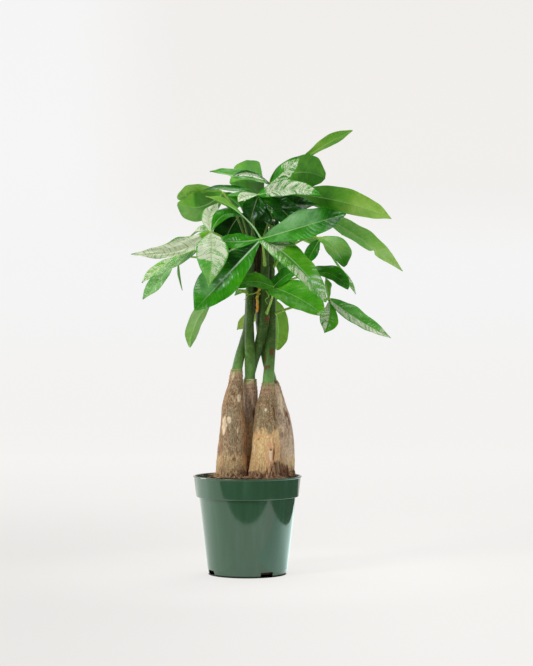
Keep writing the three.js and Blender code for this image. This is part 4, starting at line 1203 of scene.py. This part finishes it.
class Surface:
    """A material's node tree, with short calls for the nodes that the plant's surfaces share."""

    def __init__(self, name):
        self.material = bpy.data.materials.new(name)
        self.material.use_nodes = True
        self.tree = self.material.node_tree
        self.tree.nodes.clear()

    def node(self, kind, inputs=(), **settings):
        """A node with its settings, and a value or a link in each of its inputs that are named."""
        made = self.tree.nodes.new(kind)
        for key, value in settings.items():
            setattr(made, key, value)
        for key, value in dict(inputs).items():
            if isinstance(value, bpy.types.NodeSocket):
                self.tree.links.new(value, made.inputs[key])
            else:
                made.inputs[key].default_value = value
        return made

    def layer(self, name):
        """The three numbers of a mesh layer."""
        return self.split(self.node("ShaderNodeAttribute", attribute_name=name).outputs["Vector"])

    def math(self, operation, a, b=0, clamp=False):
        return self.node("ShaderNodeMath", {0: a, 1: b}, operation=operation, use_clamp=clamp).outputs[0]

    def plus(self, *values):
        """The sum of values."""
        made = values[0]
        for value in values[1:]:
            made = self.math("ADD", made, value)
        return made

    def times(self, *values):
        """The product of values."""
        made = values[0]
        for value in values[1:]:
            made = self.math("MULTIPLY", made, value)
        return made

    def less(self, a, b):
        return self.math("SUBTRACT", a, b)

    def stirred(self, value, grain, amount):
        """A value moved down and up by noise, whose middle is 0.5."""
        return self.plus(value, self.times(self.less(grain, 0.5), amount))

    def step(self, value, low, high, to_low=0, to_high=1):
        """A soft step from one value to another."""
        inputs = {0: value, 1: low, 2: high, 3: to_low, 4: to_high}
        return self.node("ShaderNodeMapRange", inputs, interpolation_type="SMOOTHSTEP").outputs[0]

    def mix(self, share, a, b, blend="MIX"):
        inputs = {0: share, 6: a, 7: b}
        return self.node("ShaderNodeMix", inputs, data_type="RGBA", blend_type=blend).outputs[2]

    def coats(self, colour, *coats):
        """A colour with others laid over it in turn, each (share, colour)."""
        for share, coat in coats:
            colour = self.mix(share, colour, coat)
        return colour

    def ramp(self, value, *stops):
        """A colour that runs through the stops, each (place, colour)."""
        made = self.node("ShaderNodeValToRGB", {0: value})
        elements = made.color_ramp.elements
        while len(elements) < len(stops):
            elements.new(0.5)
        for element, (place, colour) in zip(elements, stops):
            element.position = place
            element.color = colour
        return made.outputs[0]

    def place(self, upright=1):
        """The point in the plant's frame, in metres, with its height stretched."""
        held = self.node("ShaderNodeTexCoord").outputs["Object"]
        return self.node("ShaderNodeMapping", {0: held, 3: (1, 1, upright)}).outputs[0]

    def split(self, vector):
        """The three numbers of a vector."""
        return tuple(self.node("ShaderNodeSeparateXYZ", {0: vector}).outputs)

    def vector(self, x, y, z):
        return self.node("ShaderNodeCombineXYZ", {0: x, 1: y, 2: z}).outputs[0]

    def distance(self, vector, centre=(0, 0, 0)):
        """How far a point lies from a centre."""
        inputs = {0: vector, 1: centre}
        return self.node("ShaderNodeVectorMath", inputs, operation="DISTANCE").outputs["Value"]

    def noise(self, scale, detail=3, uneven=0.55, upright=1, vector=None):
        """Noise from 0 to 1 in the plant's frame or along a vector. A low upright draws it out in height."""
        along = self.place(upright) if vector is None else vector
        inputs = {"Vector": along, "Scale": scale, "Detail": detail, "Roughness": uneven}
        return self.node("ShaderNodeTexNoise", inputs).outputs[0]

    def bump(self, height, distance, strength):
        inputs = {"Height": height, "Distance": distance, "Strength": strength}
        return self.node("ShaderNodeBump", inputs).outputs[0]

    def principled(self, colour, roughness, normal, **levels):
        inputs = {"Base Color": colour, "Roughness": roughness, "Normal": normal}
        inputs.update({key.replace("_", " "): value for key, value in levels.items()})
        return self.node("ShaderNodeBsdfPrincipled", inputs).outputs[0]

    def finish(self, shader):
        self.node("ShaderNodeOutputMaterial", {0: shader})
        return self.material

    def coated(self, colour, roughness, normal, **levels):
        """The finished material, with a principled shader alone."""
        return self.finish(self.principled(colour, roughness, normal, **levels))


LEAF_TONES = (
    (0, srgb(10, 42, 4)), (0.2, srgb(24, 96, 6)), (0.4, srgb(52, 150, 12)), (0.55, srgb(90, 178, 36)),
    (0.7, srgb(134, 200, 66)), (0.85, srgb(176, 222, 110)), (1, srgb(206, 232, 140)),
)
LEAF_CREAM = srgb(228, 230, 208)
LEAF_RIB = srgb(176, 212, 140)
LEAF_BOLD_RIB = srgb(196, 224, 192)
LEAF_UNDER = srgb(158, 198, 112)
LEAF_SEAM = srgb(92, 116, 66)
LEAF_OLIVE = (1.3, 0.86, 0.6, 1)
# The next two colours are painted light: a pale bluish sheen and the white of highlight streaks
LEAF_PAINTED_SHEEN = srgb(164, 206, 160)
LEAF_PAINTED_GLINT = srgb(206, 232, 226)
LEAF_THROUGH = srgb(210, 250, 60)


def leaf_green(made, tone, warm, painted_sheen, clouds, streaks, speckles):
    """The green between the markings: uneven, olive in drifts and on warm leaflets, and paled by a painted
    sheen.
    """
    shade = made.stirred(tone, clouds, 0.44)
    shade = made.stirred(shade, streaks, 0.2)
    shade = made.stirred(shade, speckles, 0.14)
    drifts = made.step(made.noise(15, 2), 0.42, 0.66, 0, 0.34)
    patches = made.times(drifts, made.step(tone, 0.15, 0.4))
    olive = made.math("ADD", patches, made.times(warm, 0.8), clamp=True)
    green = made.mix(olive, made.ramp(shade, *LEAF_TONES), LEAF_OLIVE, "MULTIPLY")
    # Painted sheen: a pale bluish green laid over the zones that ask for it, in soft clouds
    return made.mix(made.times(painted_sheen, made.step(clouds, 0.3, 0.7, 0.25, 0.75)), green, LEAF_PAINTED_SHEEN)


def leaf_markings(made, pale, tone, across, near, clouds, streaks, speckles):
    """Coats for cream streaks along the side veins, the green seams between them, and the veins."""
    mixed = made.plus(made.times(streaks, 0.8), made.times(speckles, 0.4))
    cream = made.step(made.plus(mixed, made.times(pale, 0.53)), 0.9, 1.08)
    cream = made.times(cream, made.step(pale, 0.02, 0.2))
    seam = made.times(made.step(near, 0.36, 0.48), cream, made.step(clouds, 0.4, 0.65, 0.1, 0.75))
    vein_line = made.times(
        made.step(near, 0.5, 0.4, 1, 0), made.step(made.math("ABSOLUTE", across), 1, 0.5, 0, 0.1),
        made.step(tone, 0, 0.3, 0.2, 1),
    )
    return (made.times(cream, 0.86), LEAF_CREAM), (seam, LEAF_SEAM), (vein_line, LEAF_RIB)


def leaf_rib(made, from_rib, along, bold):
    """A coat for the light midrib, which is wider and brighter where it is bold."""
    edge = made.plus(0.95, made.times(bold, 0.6))
    core = made.plus(0.35, made.times(bold, 0.55))
    light = made.plus(made.step(along, 1, 0.2, 0.1, 0.62), made.times(bold, 0.25))
    return made.times(made.step(from_rib, edge, core), light), made.mix(bold, LEAF_RIB, LEAF_BOLD_RIB)


def leaf_material():
    """A glossy quilted leaf with pale markings, which lets some light through and is paler below. It has a
    painted sheen on some zones and painted highlight streaks between the side veins on others.
    """
    made = Surface("leaf_blade")
    vein, across, from_rib = made.layer("blade")
    pale, tone, under = made.layer("paint")
    seed, along, sheen = made.layer("spot")
    warm, painted_sheen, bold = made.layer("tint")
    painted_glints, _, _ = made.layer("painted_highlight")
    along_veins = made.vector(made.plus(made.times(vein, 2.1), seed), made.times(across, 0.6), seed)
    streaks = made.noise(1, 4, 0.68, vector=along_veins)
    speckles = made.noise(620, 2)
    clouds = made.noise(46)
    near = made.math("ABSOLUTE", made.less(made.math("FRACT", vein), 0.5))
    # Painted highlights: white streaks midway between the side veins, in patches, where the zones ask for
    # them
    painted_glint = made.times(made.step(near, 0.26, 0.06), made.step(clouds, 0.46, 0.56), painted_glints, 0.7)
    green = made.coats(
        leaf_green(made, tone, warm, painted_sheen, clouds, streaks, speckles),
        *leaf_markings(made, pale, tone, across, near, clouds, streaks, speckles),
        leaf_rib(made, from_rib, along, bold),
        (painted_glint, LEAF_PAINTED_GLINT),
        (made.times(under, 0.16), LEAF_UNDER),
    )
    gloss = made.less(made.step(speckles, 0.2, 0.8, 0.24, 0.34), made.times(sheen, 0.15))
    gloss = made.plus(gloss, made.times(under, 0.26))
    bulge = made.times(made.math("SINE", made.times(vein, 2 * math.pi)), 0.5)
    normal = made.bump(made.plus(bulge, made.times(made.noise(1500, 2), 0.25)), 0.00035, 0.5)
    body = made.principled(green, gloss, normal, Specular_IOR_Level=0.2, IOR=1.46)
    through = made.mix(0.6, green, LEAF_THROUGH, "MULTIPLY")
    glow = made.node("ShaderNodeBsdfTranslucent", {"Color": through, "Normal": normal}).outputs[0]
    return made.finish(made.node("ShaderNodeMixShader", {0: 0.2, 1: body, 2: glow}).outputs[0])


STALK_SHADE_CENTRE = (0.005, 0.01, 0.485)


def stalk_material():
    """A leaf stalk: light green, with faint streaks and yellower at its ends. Painted shade darkens it
    inside the crown.
    """
    made = Surface("leaf_stalk")
    _, end, _ = made.layer("spot")
    streaks = made.noise(700, upright=0.2)
    colour = made.coats(
        made.ramp(streaks, (0.3, srgb(92, 136, 40)), (0.5, srgb(132, 174, 62)), (0.72, srgb(176, 204, 96))),
        (made.times(end, 0.4), srgb(176, 196, 78)),
        # Painted shade inside the crown, near the stems' tops
        (made.step(made.distance(made.place(), STALK_SHADE_CENTRE), 0.065, 0.03, 0, 0.75), srgb(48, 72, 20)),
    )
    roughness = made.step(streaks, 0.3, 0.7, 0.34, 0.5)
    normal = made.bump(streaks, 0.0003, 0.6)
    return made.coated(colour, roughness, normal, Specular_IOR_Level=0.25)


BARK_TONES = (
    (0.36, srgb(86, 60, 38)), (0.45, srgb(128, 102, 70)), (0.53, srgb(168, 146, 112)),
    (0.64, srgb(222, 202, 166)),
)
STRAW_TONES = (
    (0.34, srgb(150, 96, 56)), (0.44, srgb(208, 164, 112)), (0.54, srgb(236, 206, 148)),
    (0.66, srgb(255, 240, 206)),
)
BLUSH_TONES = ((0.36, srgb(140, 98, 78)), (0.6, srgb(250, 226, 204)))
PEELED_TONES = ((0.3, srgb(222, 190, 150)), (0.6, srgb(250, 228, 196)))
STEM_TONES = ((0.3, srgb(42, 74, 18)), (0.48, srgb(74, 116, 36)), (0.62, srgb(112, 154, 62)))


def bark_colour(made, weights, mix, blotch, flakes):
    """Grey brown bark with tan and peeled patches, which turns to straw yellow fibre at the foot, with
    painted shade in its crevices.
    """
    straw, pale, blush, tan, collar, crevice_shade, ring, height = weights
    tan = made.times(tan, made.step(made.noise(260, 4, upright=0.45), 0.4, 0.6, 0.1, 0.7))
    fibres = made.coats(
        made.ramp(mix, *STRAW_TONES),
        (made.step(blotch, 0.48, 0.68, 0, 0.5), srgb(206, 146, 104)),
        (tan, srgb(222, 158, 122)),
    )
    cracks = made.step(made.noise(300, 4, 0.7, upright=0.28), 0.5, 0.6)
    return made.coats(
        made.ramp(mix, *BARK_TONES),
        (made.step(blotch, 0.5, 0.72, 0, 0.45), srgb(136, 90, 64)),
        (made.step(blotch, 0.48, 0.32, 0, 0.5), srgb(134, 132, 104)),
        (tan, srgb(170, 112, 64)),
        (made.step(flakes, 0.58, 0.68, 0, 0.5), srgb(214, 178, 132)),
        (made.step(flakes, 0.42, 0.34, 0, 0.36), srgb(92, 62, 38)),
        (made.times(blush, 0.7), made.ramp(mix, *BLUSH_TONES)),
        (straw, fibres),
        (made.times(pale, 0.92), made.ramp(mix, *PEELED_TONES)),
        (made.times(collar, 0.5), srgb(190, 152, 124)),
        # Painted shade in the crevices
        (made.times(crevice_shade, 0.38), srgb(74, 50, 32)),
        (made.times(made.step(height, 0.07, 0), cracks, 0.8), srgb(70, 44, 26)),
        (made.times(ring, made.step(flakes, 0.44, 0.56, 0.1, 0.75)), srgb(198, 190, 134)),
    )


def stem_colour(made, height, blotch, fibre):
    """The green stem, paler where it leaves the bark and darkened under the crown by painted shade."""
    return made.coats(
        made.ramp(made.plus(made.times(blotch, 0.5), made.times(fibre, 0.5)), *STEM_TONES),
        (made.step(height, 0.58, 0.4, 0, 0.36), srgb(124, 176, 108)),
        # Painted shade under the crown
        (made.step(height, 0.43, 0.62, 0, 0.75), srgb(40, 66, 18)),
        (made.step(made.noise(210, upright=2), 0.54, 0.66, 0, 0.16), srgb(150, 166, 110)),
        (made.step(made.noise(900, 1, upright=0.5), 0.68, 0.78, 0, 0.3), srgb(170, 176, 120)),
    )


def trunk_material():
    """Fibrous bark below, a green stem above and a ragged edge between them."""
    made = Surface("trunk_skin")
    woody, straw, pale = made.layer("skin")
    rust, sap, crevice_shade = made.layer("mark")
    collar, height, blush = made.layer("level")
    tan, ring, _ = made.layer("stains_and_shade")
    fibre = made.noise(600, 6, 0.7, upright=0.36)
    grain = made.noise(820, 5, 0.7, upright=0.9)
    blotch = made.noise(120, upright=0.5)
    flakes = made.noise(330, 4, 0.7, upright=0.45)
    mix = made.plus(made.times(fibre, 0.6), made.times(grain, 0.4))
    weights = (straw, pale, blush, tan, collar, crevice_shade, ring, height)
    bark = bark_colour(made, weights, mix, blotch, flakes)
    stem = stem_colour(made, height, blotch, fibre)
    bark = made.mix(made.step(made.stirred(collar, flakes, 0.9), 0.92, 1.02, 0, 0.8), bark, stem)
    colour = made.coats(
        stem,
        (made.step(woody, 0.2, 0.7), bark),
        (made.times(rust, 0.85), srgb(108, 60, 32)),
        (sap, srgb(240, 232, 212)),
    )
    relief = made.plus(made.times(fibre, made.step(woody, 0, 1, 0.25, 1)), made.times(grain, 0.4))
    roughness = made.step(woody, 0, 1, 0.42, 0.86)
    normal = made.bump(relief, 0.0009, 0.75)
    return made.coated(colour, roughness, normal, Specular_IOR_Level=0.25)


def pot_material():
    """Moulded green plastic with faint flow streaks and scuffs. Low inside the foot and its notches it is
    dull, and near black with painted shade.
    """
    made = Surface("pot_plastic")
    streaks = made.noise(90, upright=0.12)
    scuffs = made.noise(420, 4, upright=0.5)
    across, deep, height = made.split(made.place())
    from_axis = made.distance(made.vector(across, deep, 0))
    # Painted shade: low inside the foot and its notches the plastic turns near black
    inside = made.times(made.step(from_axis, *POT_PAINTED_SHADE_RADII), made.step(height, *POT_PAINTED_SHADE_HEIGHTS))
    colour = made.coats(
        made.ramp(streaks, (0.3, srgb(49, 84, 57)), (0.55, srgb(53, 88, 63)), (0.75, srgb(59, 96, 70))),
        (made.step(scuffs, 0.62, 0.8, 0, 0.25), srgb(88, 118, 92)),
        (inside, srgb(18, 22, 16)),
    )
    roughness = made.plus(made.step(scuffs, 0.3, 0.75, 0.05, 0.12), made.times(inside, 0.7))
    normal = made.bump(streaks, 0.0001, 0.15)
    return made.coated(colour, roughness, normal, IOR=1.77, Specular_Tint=(0.92, 1, 0.96, 1))


def soil_material():
    """Dark peaty soil with lighter flecks."""
    made = Surface("soil")
    clumps = made.noise(260, 5, 0.65)
    colour = made.coats(
        made.ramp(clumps, (0.32, srgb(30, 21, 14)), (0.5, srgb(56, 40, 27)), (0.68, srgb(90, 68, 48))),
        (made.step(made.noise(900, 2), 0.66, 0.76, 0, 0.7), srgb(150, 116, 92)),
    )
    return made.coated(colour, 0.95, made.bump(clumps, 0.002, 0.9))


def chip_material(name, dark, light, reddened=0):
    """Chips or fibres, each with its own colour from dark to light, and some of them red brown."""
    made = Surface(name)
    pick, red, _ = made.layer("spot")
    grain = made.noise(1300)
    share = made.plus(made.times(pick, 0.7), made.times(grain, 0.3))
    chips = made.ramp(share, (0.1, dark), (0.85, light))
    colour = made.mix(made.times(red, reddened), chips, srgb(136, 74, 52))
    roughness = made.step(grain, 0.3, 0.7, 0.75, 0.95)
    return made.coated(colour, roughness, made.bump(grain, 0.0006, 0.8))


# Stage, camera and lights

def glowing(made, glow, colour, tint):
    """A matte surface that glows faintly, as if lit from within."""
    normal = made.bump(made.noise(3, 2), 0.0001, 0.1)
    light = {"Emission_Color": colour, "Emission_Strength": glow}
    return made.coated(tint, 0.9, normal, Specular_IOR_Level=0, **light)


def floor_material():
    """The pale sheet, which glows. It is a little brighter round the pot, as painted light that hides its
    shadow, and on the backdrop, so that it looks even. Painted shade darkens the left of its front and high
    up on the backdrop, and painted light brightens the right of its front.
    """
    made = Surface("stage_pale")
    place = made.place()
    across, deep, height = made.split(place)
    away = made.distance(place)
    rise = made.step(height, 0, 0.5)
    # Painted shade on the left of the sheet's front, and painted light on its right
    leftward = made.times(made.step(across, -0.34, 0.3, -0.06, 0.035), made.step(deep, 1.3, 0.1))
    # Painted shade, a little warmer, high up on the backdrop, save at its far left
    upward = made.times(made.step(height, 0.55, 0.85), made.step(across, -0.65, -0.2))
    sideways = made.step(made.math("ABSOLUTE", across), 0.9, 3.6, 0, 0.22)
    frontward = made.step(deep, -1.4, -4.5, 0, 0.16)
    # The glow: brighter on the backdrop so that it looks even, with painted light round the pot that hides
    # its shadow
    glow = made.plus(
        made.step(deep, 0.3, 2.6, 0.645, 0.785), made.step(away, 0.42, 0.06, 0, 0.075), leftward,
        made.times(upward, -0.035), made.math("MAXIMUM", sideways, frontward),
    )
    glow = made.times(glow, made.step(away, *POT_SHADOW_RADII))
    colour = made.coats(srgb(255, 253, 251), (rise, srgb(255, 255, 255)), (upward, srgb(255, 252, 249)))
    return glowing(made, glow, colour, made.mix(rise, srgb(124, 122, 120), srgb(124, 124, 124)))


def card_material(name, colour, glow):
    """A bright card for reflections that fades out towards the front."""
    made = Surface(name)
    _, deep, _ = made.split(made.place())
    return glowing(made, made.step(deep, -0.14, 0.12, 0.86, glow), colour, srgb(60, 60, 60))


def dark_material():
    """Matte near-black card."""
    made = Surface("stage_dark")
    grain = made.noise(3, 2)
    colour = made.mix(grain, srgb(20, 22, 20), srgb(26, 28, 26))
    return made.coated(colour, 0.9, made.bump(grain, 0.0001, 0.1))


def stage_part(name, points, faces, material):
    """A part of the stage, in metres."""
    mesh = bpy.data.meshes.new(name)
    mesh.from_pydata(points, [], faces)
    mesh.materials.append(material)
    mesh.polygons.foreach_set("use_smooth", [True] * len(faces))
    made = linked(name, mesh)
    return made


def make_floor():
    """A pale seamless floor that sweeps up behind."""
    profile = [(STAGE_FRONT, 0), (SWEEP_START, 0)]
    for step in range(1, SWEEP_STEPS + 1):
        angle = step / SWEEP_STEPS * math.pi / 2
        profile.append((SWEEP_START + SWEEP_RADIUS * math.sin(angle), SWEEP_RADIUS * (1 - math.cos(angle))))
    profile.append((SWEEP_START + SWEEP_RADIUS, STAGE_TOP))
    points = [(side * STAGE_REACH, y, z) for y, z in profile for side in (-1, 1)]
    faces = [(2 * i, 2 * i + 1, 2 * i + 3, 2 * i + 2) for i in range(len(profile) - 1)]
    return stage_part("floor", points, faces, floor_material())


def make_cards():
    """Dark and bright cards just above the floor that only reflections see."""
    materials = {
        "dark": dark_material(),
        "left": card_material("stage_card_left", srgb(250, 255, 250), 1.3),
        "right": card_material("stage_card_right", srgb(228, 255, 252), 1.9),
    }
    for name, (kind, left, right, front, back) in CARDS.items():
        corners = ((left, front), (right, front), (right, back), (left, back))
        card = stage_part(name, [(x, y, CARD_LEVEL) for x, y in corners], [(0, 1, 2, 3)], materials[kind])
        for ray in ("camera", "diffuse", "shadow", "transmission", "volume_scatter"):
            setattr(card, f"visible_{ray}", False)


def make_camera():
    """A level camera in front of the plant, at the photograph's distance and framing."""
    data = bpy.data.cameras.new("camera")
    data.sensor_width = CAMERA_SENSOR
    data.lens = CAMERA_LENS
    data.clip_start = 0.05
    data.clip_end = 100
    made = linked("camera", data)
    made.location = CAMERA_PLACE
    made.rotation_euler = (math.radians(90), 0, 0)
    bpy.context.scene.camera = made


def area_light(name, place, size, power, colour):
    """A soft box that points at the middle of the plant."""
    data = bpy.data.lights.new(name, "AREA")
    data.shape = "RECTANGLE"
    data.size, data.size_y = size
    data.energy = power
    data.color = colour
    made = linked(name, data)
    made.location = place
    made.rotation_euler = (Vector(LIGHT_AIM) - Vector(place)).to_track_quat("-Z", "Y").to_euler()
    return made


def spare_floor(light, floor):
    """Keeps a light that stands close to the floor from drawing a bright patch on it."""
    unlit = bpy.data.collections.new("unlit_floor")
    unlit.objects.link(floor)
    light.light_linking.receiver_collection = unlit
    unlit.collection_objects[0].light_linking.link_state = "EXCLUDE"


def make_world():
    """The studio's dim walls, which show as pale as the sheet where they are seen past its edge."""
    world = bpy.data.worlds.new("studio")
    world.use_nodes = True
    nodes, links = world.node_tree.nodes, world.node_tree.links
    dim = nodes["Background"]
    dim.inputs["Color"].default_value = (0.93, 0.96, 1, 1)
    dim.inputs["Strength"].default_value = 0.28
    pale = nodes.new("ShaderNodeBackground")
    pale.inputs["Color"].default_value = srgb(243, 241, 239)
    seen = nodes.new("ShaderNodeLightPath")
    mix = nodes.new("ShaderNodeMixShader")
    links.new(seen.outputs["Is Camera Ray"], mix.inputs[0])
    links.new(dim.outputs[0], mix.inputs[1])
    links.new(pale.outputs[0], mix.inputs[2])
    links.new(mix.outputs[0], nodes["World Output"].inputs["Surface"])
    return world


def make_studio():
    """The camera, the stage and the lights of a bright even studio."""
    make_camera()
    floor = make_floor()
    make_cards()
    bpy.context.scene.world = make_world()
    lights = {name: area_light(name, *row) for name, row in LIGHTS.items()}
    spare_floor(lights["rim_left"], floor)
    bpy.context.scene.view_settings.view_transform = "Standard"


# The whole plant

def make_plant():
    rng = random.Random(SEED)
    leaf_materials = [leaf_material(), stalk_material()]
    for name, row in LEAVES.items():
        make_leaf(name, row, leaf_materials, rng)
    skin = trunk_material()
    for name, rows in TRUNKS.items():
        nodes = [row[1] for row in LEAVES.values() if row[0] == name]
        make_trunk(name, rows, nodes, skin)
    make_pot(pot_material())
    make_soil(soil_material())
    make_crumbs(chip_material("soil_chips", srgb(34, 24, 16), srgb(122, 92, 66)), rng)
    make_roots(chip_material("root_bark", srgb(64, 38, 24), srgb(224, 190, 146), 0.7), rng)
    make_dry_stalk(chip_material("dry_stalk", srgb(206, 132, 34), srgb(240, 178, 70)))
    make_threads(leaf_materials[1])
    make_husks_and_shade_fill(chip_material("dry_scale_and_shade_fill", srgb(34, 24, 12), srgb(116, 96, 52)), rng)


make_studio()
make_plant()
